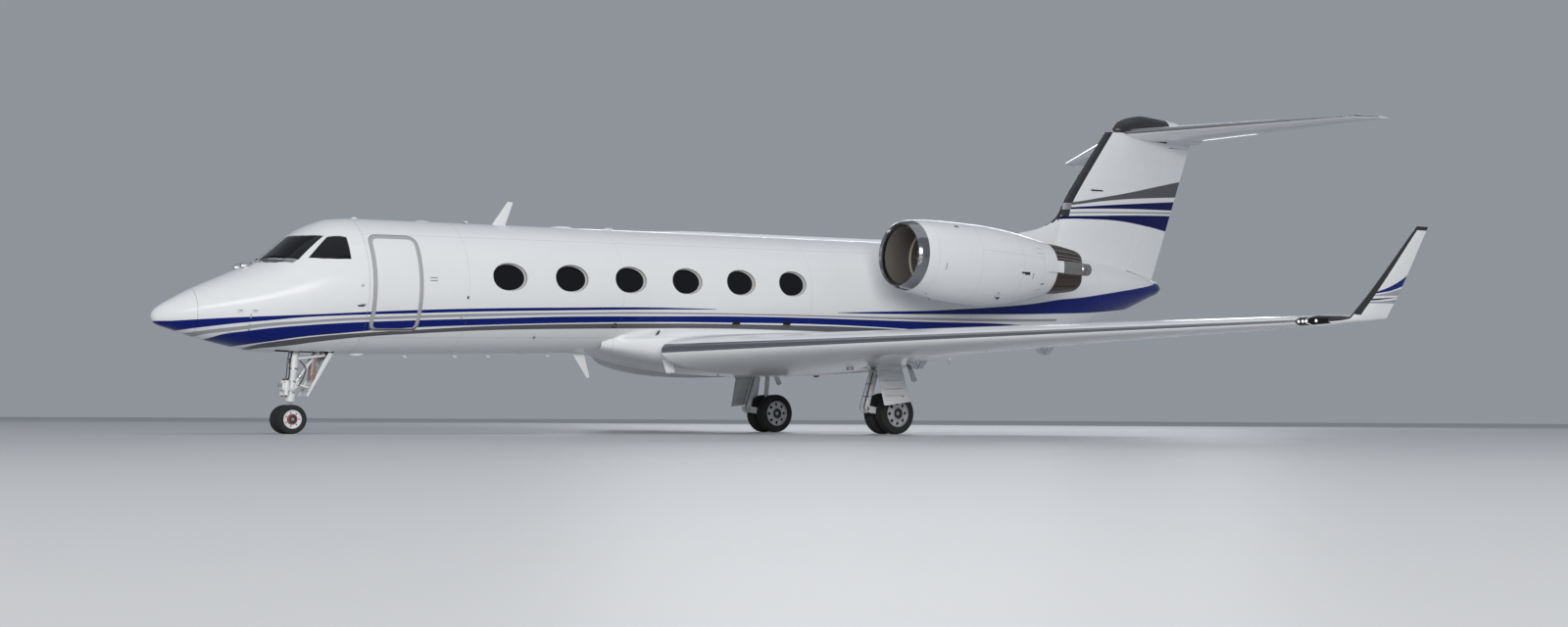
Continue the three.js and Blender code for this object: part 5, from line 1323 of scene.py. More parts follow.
def engine(side, word):
    place = engineFrame(side)
    inboard = 0 if side < 0 else math.pi
    outboard = math.pi - inboard
    outer = [0.0, 0.012, 0.03, 0.06, 0.10, 0.15, 0.22, 0.32, 0.44, 0.56, 0.75, 0.95, 1.2, 1.5, 1.8, 2.1, 2.4, 2.7,
             3.0, 3.33, 3.65, 3.949]
    path = ductWall[::-1] + [(-0.004, 0.628)] + [(a, None) for a in outer]
    lipEnd = len(ductWall) + 8

    def spot(step, turn):
        a, r = step
        return Vector((a, r * math.cos(turn), r * math.sin(turn))) if r else onNacelle(a, turn)

    def stripes(row, column):
        # Lip rows in the darkened polished metal: a painted dark reflection
        if len(ductWall) - 4 < row < lipEnd - 1:
            return 1
        # Row 6 is the fan case ring, lightened as painted light
        return 6 if row == len(ductWall) - 7 else (2 if row <= len(ductWall) - 4 else 0)
    body = ringSolid(path, spot, 72, stripes)
    makePiece(f"cowl_{word}", inFrame(body, place), nacelleMaterials, [f"nacelle_{word}"], smooth=40)

    # Panels, vents, drains and the joint round the rear, all on the cowl
    parts = []
    for a in (0.47, 1.62, 2.80, 3.50):
        parts.append(skinPatch(a, a + 0.004, 0, math.tau, 0.0005, 0.002, 7, 1, 72))
    for turn in (math.radians(12), math.radians(168), math.radians(-52), math.radians(-128)):
        parts.append(skinPatch(1.62, 3.50, turn - 0.003, turn + 0.003, 0.0005, 0.002, 7, 24, 1))
    # Marks of material 5 are vents and drains in near black: painted shade inside them
    marks = [(0.66, 0.31, 0.012, 0.14, 5), (3.13, 0.34, 0.012, 0.12, 5), (2.76, 0.26, 0.24, 0.030, 5),
             (2.86, 0.28, 0.16, 0.050, 5), (3.46, 0.60, 0.12, 0.022, 5), (0.56, 1.33, 0.03, 0.030, 5),
             (3.30, -0.55, 0.16, 0.006, 3), (3.30, -0.36, 0.20, 0.006, 3), (3.30, 0.80, 0.25, 0.006, 3),
             (1.10, -0.95, 0.10, 0.05, 5), (2.30, 1.0, 0.09, 0.06, 5)]
    for a, down, long, wide, index in marks:
        turn = outboard - side * down
        parts.append(skinPatch(a, a + long, turn - wide / 1.5, turn + wide / 1.5, 0.0012, 0.003, index, 3, 3))
    parts += [
        skinPatch(3.63, 3.945, outboard - 0.218, outboard + 0.218, 0.012, 0.014, 7, 8, 8),
        skinPatch(3.645, 4.10, outboard - 0.205, outboard + 0.205, 0.036, 0.026, 0, 8, 8)]
    for a, turn in ((2.24, outboard - side * 0.80), (2.22, outboard - side * 0.93), (0.80, -math.pi / 2)):
        foot = onNacelle(a, turn, 0.01)
        out = Vector((0, math.cos(turn), math.sin(turn)))
        parts.append(tagged(tube([foot, foot + out * 0.03 + Vector((0.005, 0, 0)),
                                  foot + out * 0.045 + Vector((0.03, 0, 0))], 0.011, 10), 3))
    makePiece(f"nacelleFittings_{word}", inFrame(joined(*parts), place), nacelleMaterials, [f"nacelle_{word}"])

    # Jet pipe with its two reverser doors and a long fairing over the hinge on each side
    pipe = [(3.955, 0.500), (3.955, 0.546), (4.20, 0.535), (4.45, 0.514), (4.67, 0.488), (4.83, 0.462),
            (4.878, 0.452), (4.880, 0.446), (4.85, 0.440), (4.45, 0.480), (4.15, 0.494)]

    def pipeSpot(step, turn):
        a, r = step
        scoop = 0.10 * max(0, (a - 4.45) / 0.43) * abs(math.cos(turn))**6
        return Vector((a - scoop, r * math.cos(turn), r * math.sin(turn)))
    nozzleParts = [ringSolid(pipe, pipeSpot, 64, lambda row, column: 4)]
    for turn in (inboard, outboard):
        out = math.cos(turn)
        ribs = [(3.80, 0.470, 0.110), (3.90, 0.545, 0.145), (4.15, 0.580, 0.150), (4.45, 0.575, 0.150),
                (4.68, 0.555, 0.140), (4.75, 0.530, 0.110)]

        def armSpot(rib, turn):
            a, far, tall = rib
            swell = abs(math.cos(turn))**0.5
            return Vector((a, out * (0.44 + (far - 0.44) * swell * (1 if math.cos(turn) > 0 else -0.05)),
                           tall * math.sin(turn)))
        nozzleParts.append(tagged(sheet(ribs, evenly(0, math.tau, 32), armSpot, "solid"), 3))
        rodEnd = Vector((4.68, out * 0.450, 0.0))
        nozzleParts += [
            tagged(rod(rodEnd, rodEnd + Vector((0.297, 0, 0)), 0.132, steps=32, bevel=0.22), 3),
            tagged(rod(rodEnd + Vector((0.10, 0, 0)), rodEnd + Vector((0.112, 0, 0)), 0.1345, steps=32, bevel=0.02), 5)]
    for low, high in ((math.radians(22), math.radians(158)), (math.radians(202), math.radians(338))):
        cover = sheet(evenly(3.965, 4.450, 4), evenly(low, high, 24), lambda a, turn: jetSkin(a, turn, 0.004))
        nozzleParts.append(thickened(cover, 0.004, 4))
    for degrees in (19, 27, 40, 58, -25, -50):
        turn = outboard - side * math.radians(-degrees)
        ridge = sheet(evenly(3.97, 4.77, 6), [turn - 0.022, turn, turn + 0.022],
                      lambda a, t: jetSkin(a, t, 0.016 - 0.2 * abs(t - turn)))
        nozzleParts.append(thickened(ridge, 0.006, 3 if degrees > 0 else 4))
    makePiece(f"exhaustNozzle_{word}", inFrame(joined(*nozzleParts), place), nacelleMaterials,
              [f"exhaust_nozzle_{word}"])

    # Core, guide vanes and mixer
    parts = [
        tagged(turnedPart([(1.09, 0.0), (1.09, 0.30), (1.12, 0.33), (2.50, 0.33), (3.10, 0.31), (3.55, 0.28),
                           (3.80, 0.20), (4.00, 0.12), (4.05, 0.0)], (0, 0, 0), (1, 0, 0), 48), 2),
        tagged(rod((0.97, 0, 0), (1.12, 0, 0), 0.030), 3)]
    for index in range(20):
        vane = box((1.16, -0.006, 0.32), (1.30, 0.006, 0.585), 0.003)
        parts.append(tagged(spun(spun(vane, 0.25, "Z", (1.23, 0, 0)), math.tau * index / 20, "X"), 2))
    for index in range(4):
        strut = box((1.87, -0.02, 0.30), (2.13, 0.02, 0.668), 0.008)
        parts.append(tagged(spun(strut, math.pi / 2 * index, "X"), 2))
    makePiece(f"engineCore_{word}", inFrame(joined(*parts), place), nacelleMaterials,
              [f"engine_{word}"])
    fan(side, word, place)


blades = {"count": 24, "root": 0.150, "tip": 0.557, "middle": 0.980, "rows": 8, "columns": 5, "thick": 0.006}


# Spinner and twisted blades
def fan(side, word, place):
    parts = [turnedPart([(0.640, 0.0), (0.648, 0.022), (0.672, 0.055), (0.72, 0.098), (0.80, 0.146), (0.86, 0.170),
                         (0.92, 0.184), (1.055, 0.184), (1.060, 0.178), (1.060, 0.034), (0.985, 0.034), (0.985, 0.0)],
                        (0, 0, 0), (1, 0, 0), 48, lambda a, r: 1 if a < 0.68 else 0)]

    def bladeSpot(part, across):
        radius = blades["root"] + (blades["tip"] - blades["root"]) * part
        twist = math.radians(28 + 34 * part)
        chord = 0.105 + 0.055 * math.sin(math.pi * min(1, part * 0.9))
        bow = 0.016 * (1 - (2 * across)**2) * (1 - 0.4 * part)
        forward, around = across * chord, bow
        a = forward * math.cos(twist) - around * math.sin(twist)
        b = forward * math.sin(twist) + around * math.cos(twist)
        lean = 0.03 * math.sin(math.pi * part)
        return Vector((blades["middle"] + a * 0.95 - 0.004, b + lean, radius))
    for index in range(blades["count"]):
        blade = sheet(evenly(0, 1, blades["rows"]), evenly(-0.5, 0.5, blades["columns"]), bladeSpot)
        # Blades in the lightened titanium: painted light
        blade = thickened(blade, blades["thick"], 2)
        for vertex in blade.verts:
            far = math.hypot(vertex.co.y, vertex.co.z)
            if far > blades["tip"]:
                vertex.co.y *= blades["tip"] / far
                vertex.co.z *= blades["tip"] / far
        parts.append(spun(blade, math.tau * index / blades["count"], "X"))
    makePiece(f"fanBlades_{word}", inFrame(joined(*parts), place), [instrument, white, titaniumPaintedLight],
              [f"fan_{word}"], f"fan_{word}")


def pylon(side, word):
    ys = evenly(1.0, 1.9, 6)
    skin = sheet(ys, roundMarks, lambda y, mark: foilPoint((15.120, side * y, 0.660), 2.860, 0.085, 2.4, (0, 0, 1),
                                                           mark), "solid", edged(0.15, 0.15))
    makePiece(f"pylonSkin_{word}", skin, surfaceMaterials, [f"pylon_{word}"])


for side, word in sides:
    engine(side, word)
    pylon(side, word)
print("stage 6: engines")


# Landing gear
def fromGround(x, y, height):
    pitch = math.radians(-attitude["pitch"])
    rise = height - attitude["shift"][2]
    return Vector((x * math.cos(pitch) + rise * math.sin(pitch), y, rise * math.cos(pitch) - x * math.sin(pitch)))


oldPrimer = finish("oldPrimer", (0.33, 0.19, 0.15), 0.5, dirt=0.5, scale=8.0)
gearSlots = [gearWhite, chrome, steel, hose, blackPartsAndGapShade, rubber, oldPrimer]
redBand = finish("hubBand", (0.30, 0.035, 0.04), 0.5, dirt=0.4, scale=8.0)
hubGrey = finish("hubAlloy", (0.58, 0.585, 0.60), 0.38, metallic=0.45, dirt=0.45, scale=8.0)
discDark = finish("brakeDark", (0.05, 0.048, 0.045), 0.5, metallic=0.5, dirt=0.5, scale=8.0)
mainWheelData = {"radius": 0.415, "width": 0.235, "spacing": 0.385, "rim": 0.262}
noseWheelData = {"radius": 0.250, "width": 0.184, "spacing": 0.300, "rim": 0.152}


# A tyre on a two-part rim. facing is the way its outer face looks along y.
def wheel(name, centre, facing, data, body, replaced, hubLook):
    r, half, rim = data["radius"], data["width"] / 2, data["rim"]
    aim = Vector((0, facing, 0))
    centre = Vector(centre)
    start = centre - aim * half
    grooves = []
    for spot in (-0.42, -0.15, 0.15, 0.42):
        at = half + spot * half
        grooves += [(at - 0.0055, r - 0.0005), (at - 0.004, r - 0.006), (at + 0.004, r - 0.006),
                    (at + 0.0055, r - 0.0005)]
    side = [(0.09, rim + 0.004), (0.02, rim + 0.03), (0.0, rim + (r - rim) * 0.45), (0.012, r * 0.90),
            (0.05, r * 0.965), (0.13, r * 0.992)]
    near = [(2 * half * a, b) for a, b in side]
    far = [(2 * half * (1 - a), b) for a, b in reversed(side)]
    inner = [(2 * half * 0.91, rim - 0.012), (2 * half * 0.09, rim - 0.012), (2 * half * 0.09, rim + 0.004)]
    tyre = turnedPart(near + grooves + far + inner, start, start + aim, 56)
    makePiece(f"{name}Tyre", tyre, [tyreBlack], replaced, body, smooth=32)
    out = 2 * half
    if hubLook == "main":
        dish = [(out * 0.90, rim + 0.012), (out * 0.93, rim + 0.006), (out * 0.93, rim - 0.008),
                (out * 0.80, rim - 0.022), (out * 0.80 - 0.004, rim - 0.045), (out * 0.86, rim * 0.62),
                (out * 0.88, rim * 0.50), (out * 0.95, rim * 0.47), (out * 0.97, rim * 0.42), (out * 0.97, 0.045),
                (out * 0.90, 0.040), (out * 0.90, 0.0)]
    else:
        dish = [(out * 0.90, rim + 0.010), (out * 0.94, rim + 0.004), (out * 0.94, rim - 0.010),
                (out * 0.83, rim - 0.022), (out * 0.80, rim * 0.62), (out * 0.84, rim * 0.50),
                (out * 0.93, rim * 0.46), (out * 0.95, rim * 0.40), (out * 0.95, 0.030), (out * 0.88, 0.026),
                (out * 0.88, 0.0)]
    back = [(out * 0.10, 0.0), (out * 0.10, 0.060), (out * 0.14, rim * 0.7), (out * 0.08, rim - 0.02),
            (out * 0.07, rim + 0.006), (out * 0.10, rim + 0.010)]
    hubMesh = turnedPart(back + [(out * 0.5, rim - 0.004)] + dish, start, start + aim, 56,
                         lambda a, radius: wheelLook(hubLook, a / out, radius / rim))
    piece = makePiece(f"{name}Hub", hubMesh, [tyreBlack, gearWhite, steel, hubGrey, discDark, redBand, blackPartsAndGapShade],
                      replaced, body, smooth=32)
    count, at, size = (8, rim * 0.76, rim * 0.125) if hubLook == "main" else (7, rim * 0.76, rim * 0.08)
    tools = []
    for index in range(count):
        turn = math.tau * index / count
        place = centre + Vector((math.cos(turn) * at, 0, math.sin(turn) * at))
        hole = rod(place + aim * half * 0.35, place + aim * half * 1.2, size, steps=20, bevel=0.01)
        # The walls of the hub's holes are cut in near black: painted shade
        tools.append(tagged(hole, 6))
    cutWith(piece, [joined(*tools)])
    bolts = []
    for index in range(count * 2):
        turn = math.tau * (index + 0.5) / (count * 2)
        place = centre + Vector((math.cos(turn) * rim * 0.54, 0, math.sin(turn) * rim * 0.54))
        bolts.append(tagged(rod(place + aim * half * 0.66, place + aim * half * 0.80, 0.0075, steps=6), 2))
    makePiece(f"{name}Bolts", joined(*bolts), [tyreBlack, gearWhite, steel], replaced, body)


def wheelLook(look, a, r):
    if look == "main":
        return 4 if a > 0.9 and r < 0.36 else 3
    return 4 if a > 0.8 and r < 0.36 else (5 if 0.58 > r > 0.36 and a > 0.8 else 1)


gear = {"noseX": 2.353, "wheelbase": 11.610, "halfTrack": 2.085}
mainSpot = {side: fromGround(gear["noseX"] + gear["wheelbase"], side * gear["halfTrack"],
                             mainWheelData["radius"]) for side in (-1, 1)}
noseSpot = fromGround(gear["noseX"], 0, noseWheelData["radius"])
for side, word in sides:
    for label, way in (("inner", -side), ("outer", side)):
        centre = mainSpot[side] + Vector((0, way * mainWheelData["spacing"] / 2, 0))
        wheel(f"mainWheel_{word}_{label}", centre, way, mainWheelData, f"main_wheels_{word}",
              [f"main_wheel_{word}_{label}"], "main")
    centre = noseSpot + Vector((0, side * noseWheelData["spacing"] / 2, 0))
    wheel(f"noseWheel_{word}", centre, side, noseWheelData, "nose_wheels", [f"nose_wheel_{word}"], "nose")

legDoor = {"y": 2.455, "z": -1.530, "lean": math.radians(17.4), "thick": 0.015, "split": -0.108,
           "outline": [(13.290, -0.112), (13.950, -0.112), (13.970, -0.775), (13.285, -0.840)]}


def doorHang(side):
    return Matrix.Translation((0, side * legDoor["y"], legDoor["z"])) @ Matrix.Rotation(side * legDoor["lean"], 4, "X")


# Raked oleo and trailing link with hoses, brake pipes and the door that covers them
def mainGear(side, word):
    axle = mainSpot[side]
    y = axle.y
    knee = axle + Vector((-0.590, 0, 0.110))
    top = Vector((13.640, y, -1.400))
    line = (top - knee).normalized()

    def up(distance):
        return knee + line * distance
    length = (top - knee).length
    parts = [
        rod(knee - line * 0.02, up(length * 0.34), 0.070, 0.060), rod(up(length * 0.28), top, 0.074, 0.100),
        rod(up(length * 0.30), up(length * 0.36), 0.084), rod(up(length * 0.70), up(length * 0.76), 0.100),
        rod(up(length * 0.45), up(length * 0.95) + Vector((0.16, 0, 0.02)), 0.030),
        rod((13.34, y, -1.4), (14.05, y, -1.4), 0.056), crossRod(knee, 0.068, 0.084, 28),
        tagged(crossRod(knee, 0.082, 0.038, 20), 2)]
    link = slab(roundedOutline([(knee.x - 0.02, knee.z + 0.075), (axle.x + 0.03, axle.z + 0.070),
                                (axle.x + 0.05, axle.z - 0.062), (knee.x - 0.02, knee.z - 0.070)],
                               0.035, 5), y - 0.045, y + 0.045, "y", 0.012)
    parts += [
        link, tagged(crossRod(axle, 0.296, 0.038, 20), 2), crossRod(axle, 0.090, 0.066, 24)]
    foot = Vector((axle.x - 0.130, y, axle.z + 0.030))
    head = Vector((13.900, y, -1.400))
    shock = (head - foot).normalized()
    reach = (head - foot).length
    parts += [
        tagged(rod(foot, foot + shock * reach * 0.5, 0.026), 1), rod(foot + shock * reach * 0.36, head, 0.050),
        tagged(rod(foot + shock * reach * 0.40, foot + shock * reach * 0.46, 0.048), 2)]
    for shift, wide in ((-0.050, 0.0055), (-0.064, 0.0045), (0.055, 0.0055)):
        bow = Vector((-0.085, shift, 0))
        parts.append(tagged(tube([top + bow * 0.9 + Vector((0, 0, -0.02)), up(length * 0.7) + bow,
                                  up(length * 0.35) + bow * 1.15,
                                  knee + Vector((-0.095, shift * 1.2, 0.02)),
                                  knee + Vector((0.05, shift * 1.25, -0.095)),
                                  axle + Vector((-0.22, shift * 1.3, -0.045)),
                                  axle + Vector((-0.05, shift * 1.4, -0.03))], wide), 3))
    for t in (0.25, 0.5, 0.78):
        parts.append(tagged(box(up(length * t) + Vector((-0.105, -0.068, -0.012)),
                                up(length * t) + Vector((-0.04, 0.068, 0.012)), 0.004), 2))
    for way in (-1, 1):
        parts.append(tagged(turnedPart([(0, 0.05), (0, 0.125), (0.008, 0.135), (0.042, 0.135), (0.050, 0.125),
                                        (0.050, 0.05), (0, 0.05)],
                                       axle + Vector((0, way * 0.078 - (0.05 if way < 0 else 0), 0)),
                                       axle + Vector((0, 1, 0)), 32), 2))
    makePiece(f"mainLeg_{word}", joined(*parts), gearSlots, [f"main_leg_{word}"])

    plate = slab(roundedOutline(legDoor["outline"], 0.035, 4), 0, -side * legDoor["thick"], "y", 0.003)
    rib = slab(roundedOutline([(13.35, -0.20), (13.89, -0.20), (13.90, -0.70), (13.35, -0.76)], 0.03, 4),
               -side * 0.014, -side * 0.034, "y", 0.004)
    stiffeners = [box((13.38, min(0, -side * 0.050), z - 0.012), (13.87, max(0, -side * 0.050), z + 0.012),
                      0.004) for z in (-0.32, -0.50, -0.64)]
    mark = disc3(Vector((13.80, 0, -0.66)), (0, side, 0), 0.016, 0.002)
    hung = inFrame(joined(plate, rib, *stiffeners, tagged(mark, 4)), doorHang(side))
    carrier = box((13.56, min(side * 2.150, side * 2.50), -1.74), (13.64, max(side * 2.150, side * 2.50), -1.71), 0.01)
    bits = [hung, carrier, tagged(tube([(13.60, side * 2.16, -1.66), (13.75, side * 2.32, -1.68),
                                        (13.85, side * 2.47, -1.72)], 0.012), 2)]
    makePiece(f"mainLegDoor_{word}", joined(*bits), gearSlots, [f"main_leg_door_{word}"])


# Fixed panel over the leg door, the rod to the door's front edge, and the small rear door
def gearPanel(side, word):
    upper = slab([(13.292, legDoor["split"] + 0.002), (13.292, 0.10), (13.94, 0.10),
                  (13.95, legDoor["split"] + 0.002)], 0, -side * legDoor["thick"], "y", 0.003)
    parts = [
        inFrame(upper, doorHang(side)),
        tagged(tube([(12.92, side * 2.30, -1.46), (13.31, side * 2.50, -1.72)], 0.011, 10, False), 2)]
    rear = slab([(14.16, -1.50), (14.26, -1.50), (14.43, -1.84), (14.36, -1.88), (14.30, -1.86)], side * 2.36,
                side * 2.345, "y", 0.003)
    parts += [
        tagged(rear, 2),
        slab([(14.245, -1.50), (14.262, -1.50), (14.435, -1.84), (14.418, -1.85)], side * 2.362, side * 2.343, "y")]
    makePiece(f"gearPanel_{word}", joined(*parts), gearSlots, [f"wing_{word}"])


for side, word in sides:
    mainGear(side, word)
    gearPanel(side, word)

lean = math.radians(6.3)
legLine = Vector((math.sin(lean), 0, math.cos(lean)))


# A point by the nose leg: height up its line, ahead of it and across
def noseLegAt(height, ahead=0.0, across=0.0):
    return noseSpot + legLine * height + Vector((-math.cos(lean), 0, math.sin(lean))) * ahead + Vector((0, across, 0))


def noseGear():
    def leg(low, high, radius, index=0, end=None):
        return tagged(rod(noseLegAt(low), noseLegAt(high), radius, end, steps=28), index)
    parts = [
        leg(0.300, 0.440, 0.080), leg(0.430, 0.78, 0.066), leg(0.70, 0.90, 0.066, 0, 0.080), leg(0.88, 1.40, 0.082),
        leg(0.455, 0.480, 0.076, 2), leg(0.86, 0.885, 0.088, 2), leg(0.64, 0.665, 0.074, 2),
        crossRod(noseLegAt(1.330), 0.282, 0.040)]
    lug = noseLegAt(0.520)
    braceEnd = Vector((3.000 - 0.060, 0, -0.760 - 0.190))
    toBrace = (braceEnd - lug).normalized()
    parts.append(rod(lug + toBrace * 0.045, lug + toBrace * 0.225, 0.030))
    for across in (-0.040, 0.040):
        parts.append(slab(roundedOutline([(lug.x + 0.02, lug.z - 0.03), (lug.x + 0.02, lug.z + 0.06),
                                          (lug.x + 0.13, lug.z + 0.13), (lug.x + 0.16, lug.z + 0.07)], 0.02, 4),
                                 across - 0.007, across + 0.007, "y", 0.002))
    for across in (-0.095, 0.095):
        parts += [
            rod(noseLegAt(0.50, 0.0, across * 0.6), noseLegAt(0.50, 0.13, across), 0.026),
            rod(noseLegAt(0.40, 0.115, across), noseLegAt(0.66, 0.115, across), 0.044, steps=20),
            tagged(rod(noseLegAt(0.385, 0.115, across), noseLegAt(0.405, 0.115, across), 0.020), 4),
            tagged(rod(noseLegAt(0.655, 0.115, across), noseLegAt(0.69, 0.115, across), 0.018), 4)]
    parts += [
        box(noseLegAt(0.56, 0.12) + Vector((-0.075, -0.13, -0.075)),
            noseLegAt(0.56, 0.12) + Vector((0.045, 0.13, 0.055)), 0.015),
        tagged(rod(noseLegAt(0.57, 0.190, -0.060), noseLegAt(0.57, 0.203, -0.060), 0.034), 2),
        tagged(rod(noseLegAt(0.57, 0.190, 0.060), noseLegAt(0.57, 0.203, 0.060), 0.034), 2)]
    for across, wide in ((-0.070, 0.008), (0.074, 0.008), (-0.050, 0.006)):
        parts.append(tagged(tube([noseLegAt(1.25, 0.06, across), noseLegAt(1.0, 0.085, across),
                                  noseLegAt(0.75, 0.08, across),
                                  noseLegAt(0.62, 0.10, across * 1.1)], wide), 3))
    for height in (1.00, 1.18):
        lamp = noseLegAt(height, 0.078)
        parts.append(tagged(rod(lamp, lamp + Vector((-0.035, 0, 0.004)), 0.045, steps=24), 2))
    makePiece("noseLeg", joined(*parts), gearSlots, ["nose_leg"])

    # Brace: two struts side by side with a locking strut between them
    parts = []
    for across in (-0.030, 0.030):
        shift = Vector((0, across, 0))
        parts.append(rod(lug + toBrace * 0.232 + shift * 0.2, braceEnd + shift * 3.4, 0.021))
    parts += [
        crossRod(braceEnd, 0.282, 0.025), tagged(rod(lug + toBrace * 0.232, lug + toBrace * 0.30, 0.033), 2),
        tagged(crossRod(lug + toBrace * 0.55, 0.05, 0.016), 2),
        tagged(tube([lug + toBrace * 0.26 + Vector((0, 0.03, 0.02)), lug + toBrace * 0.6 + Vector((0, 0.07, 0.03)),
                     braceEnd + Vector((0, 0.10, 0.03))], 0.007), 3)]
    makePiece("noseDragBrace", joined(*parts), gearSlots, ["nose_drag_brace"])

    # Plate behind the leg with its flanges and ribs, and the struts in the bay
    top, foot = Vector((3.010, 0, -1.190)), Vector((2.560, 0, -1.930))
    run = (foot - top).normalized()
    ahead = Vector((run.z, 0, -run.x))

    def spot(down, out):
        place = top + run * down + ahead * out
        return (place.x, place.z)
    end = (foot - top).length
    parts = [slab([spot(0, 0), spot(end, 0), spot(end, 0.012), spot(0, 0.012)], -0.21, 0.21, "y", 0.003)]
    for y in (-0.21, 0.21):
        parts.append(slab([spot(0, 0), spot(end, 0), spot(end, 0.035), spot(0.20, 0.075), spot(0, 0.075)], y - 0.006,
                          y + 0.006, "y", 0.003))
    for down in (0.16, 0.36, 0.56, 0.76):
        parts.append(slab([spot(down, 0.008), spot(down + 0.012, 0.008), spot(down + 0.012, 0.040),
                           spot(down, 0.040)], -0.206, 0.206, "y", 0.002))
    for y in (-0.09, 0.09):
        parts += [
            rod((spot(0.70, 0.03)[0], y, spot(0.70, 0.03)[1]), noseLegAt(0.62, -0.05, y * 0.6), 0.018),
            rod((2.424, y * 1.3, -1.267), (2.900, y * 1.3, -1.219), 0.026)]
    parts += [
        tagged(rod((2.736, -0.117, -1.270), (2.688, -0.117, -1.660), 0.020), 6),
        tagged(rod((2.736, 0.117, -1.270), (2.688, 0.117, -1.660), 0.020), 6),
        tagged(tube([(2.46, -0.10, -1.30), (2.55, -0.14, -1.45), (2.50, -0.13, -1.62), (2.44, -0.08, -1.74)], 0.010),
               3)]
    makePiece("noseGearPlate", joined(*parts), gearSlots, ["nose_drag_brace"])

    # Sliding piston, its fork and the links that turn it
    parts = [
        leg(-0.035, 0.065, 0.047), leg(0.050, 0.600, 0.0375, 1), leg(0.062, 0.110, 0.046),
        tagged(crossRod(noseSpot, 0.243, 0.029, 20), 2)]
    for way in (-1, 1):
        parts.append(rod(noseSpot + Vector((0, way * 0.045, 0)), noseSpot + Vector((0, way * 0.062, 0)), 0.052,
                         steps=24))
    links = slab([(0.095, -0.040), (0.095, 0.040), (0.205, 0.018), (0.205, -0.018)], -0.010, 0.010, "z", 0.004)
    turn = (Matrix.Translation(noseLegAt(0.10)) @ Matrix.Rotation(lean - math.radians(38), 4, "Y")
            @ Matrix.Rotation(math.pi, 4, "Z"))
    bmesh.ops.transform(links, matrix=turn, verts=links.verts)
    parts.append(links)
    makePiece("noseFork", joined(*parts), gearSlots, ["nose_fork"], "nose_fork_body")


noseGear()
print("stage 7: landing gear")

# Aerials, probes and lights

# A plate seen from the side, with the edges of both faces rounded
def bladePlate(outline, y, half, bevel, segments):
    mesh = slab(outline, y - half, y + half, "y")
    rims = [e for e in mesh.edges if abs(e.verts[0].co.y - e.verts[1].co.y) < 1e-6]
    bmesh.ops.bevel(mesh, geom=rims, offset=bevel, affect="EDGES", segments=segments, profile=0.5, material=-1)
    return mesh


aerials = {
    "crown": [(6.13, 1.15), (6.42, 1.15), (6.61, 1.64), (6.50, 1.65)],
    "belly": [(7.78, -1.15), (8.06, -1.15), (8.19, -1.67), (8.13, -1.68)],
}
for label, outline in aerials.items():
    makePiece(f"{label}Aerial", bladePlate(outline, 0, 0.012, 0.009, 3), [white], [f"{label}_aerial"])

lampRed = finish("beaconRed", (0.22, 0.006, 0.006), 0.12, coat=0.6, dirt=0.05)
lampClear = finish("lampClear", (0.88, 0.89, 0.90), 0.08, coat=0.8, dirt=0.05,
                   **{"Emission Color": (1, 0.98, 0.94, 1), "Emission Strength": 0.35})
lampSlots = [white, glass, blackPartsAndGapShade, polishedDarkReflection, steel, lampRed, lampClear]


# A low blister standing on the skin, longer than it is wide
def dome(place, long, wide, tall, index=0):
    mesh = bmesh.new()
    bmesh.ops.create_uvsphere(mesh, u_segments=28, v_segments=14, radius=1)
    bmesh.ops.scale(mesh, vec=(long / 2, wide / 2, tall), verts=mesh.verts)
    bmesh.ops.translate(mesh, vec=place, verts=mesh.verts)
    return tagged(mesh, index)


# A small blade standing off the skin, raked aft
def mast(front, rear, top, bottom, rake, half=0.008, y=0.0):
    outline = [(front, top), (rear, top), (rear + rake, bottom), (front + rake * 1.35, bottom)]
    return bladePlate(outline, y, half, half * 0.7, 2)


crown = [dome((3.50, 0, 1.186), 0.13, 0.08, 0.045), dome((4.77, 0, 1.185), 0.34, 0.20, 0.035),
         dome((7.60, 0, 1.185), 0.50, 0.34, 0.045),
         dome((5.62, 0, 1.188), 0.09, 0.09, 0.040, 3), mast(5.58, 5.66, 1.18, 1.245, 0.02),
         rod((8.61, 0, 1.185), (8.61, 0, 1.215), 0.125, steps=28), dome((8.61, 0, 1.212), 0.23, 0.20, 0.030, 5)]
makePiece("crownFittings", joined(*crown), lampSlots, ["cabin_crown"])
belly = [mast(x - 0.05, x + 0.03, -1.185, -1.270, 0.05) for x in (4.385, 5.354, 6.019, 7.257)]
belly += [dome((3.52, 0, -1.188), 0.26, 0.14, 0.032, 6), dome((6.72, 0, -1.188), 0.20, 0.14, 0.022),
          dome((4.0, 0.35, -1.14), 0.10, 0.10, 0.02, 2)]
makePiece("bellyFittings", joined(*belly), lampSlots, ["cabin_belly"])
keelParts = [mast(9.86, 9.98, -1.36, -1.62, 0.06, 0.012), dome((13.65, 0, -1.688), 0.15, 0.13, 0.050, 5),
             mast(11.1, 11.18, -1.64, -1.70, 0.03),
             dome((10.6, -0.55, -1.585), 0.20, 0.14, 0.015, 6), dome((10.6, 0.55, -1.585), 0.20, 0.14, 0.015, 6)]
for side in (-1, 1):
    # Inspection lamp: a tilted lens in a metal rim on the side of the fairing
    foot = min((onFairing(9.08, side * k) for k in range(1, 29)), key=lambda p: abs(p.z + 0.865))
    for long, tall, deep, index in ((0.20, 0.075, 0.010, 4), (0.155, 0.045, 0.018, 2)):
        lens = dome((0, 0, 0), long, deep * 2, tall / 2, index)
        spun(spun(lens, math.radians(-50), "Y"), side * math.radians(-14), "Z")
        bmesh.ops.translate(lens, vec=foot, verts=lens.verts)
        keelParts.append(lens)
keelParts.append(mast(9.21, 9.43, -1.33, -1.61, 0.07, 0.014, -1.0))
makePiece("fairingFittings", joined(*keelParts), lampSlots, ["wing_root_fairing"])

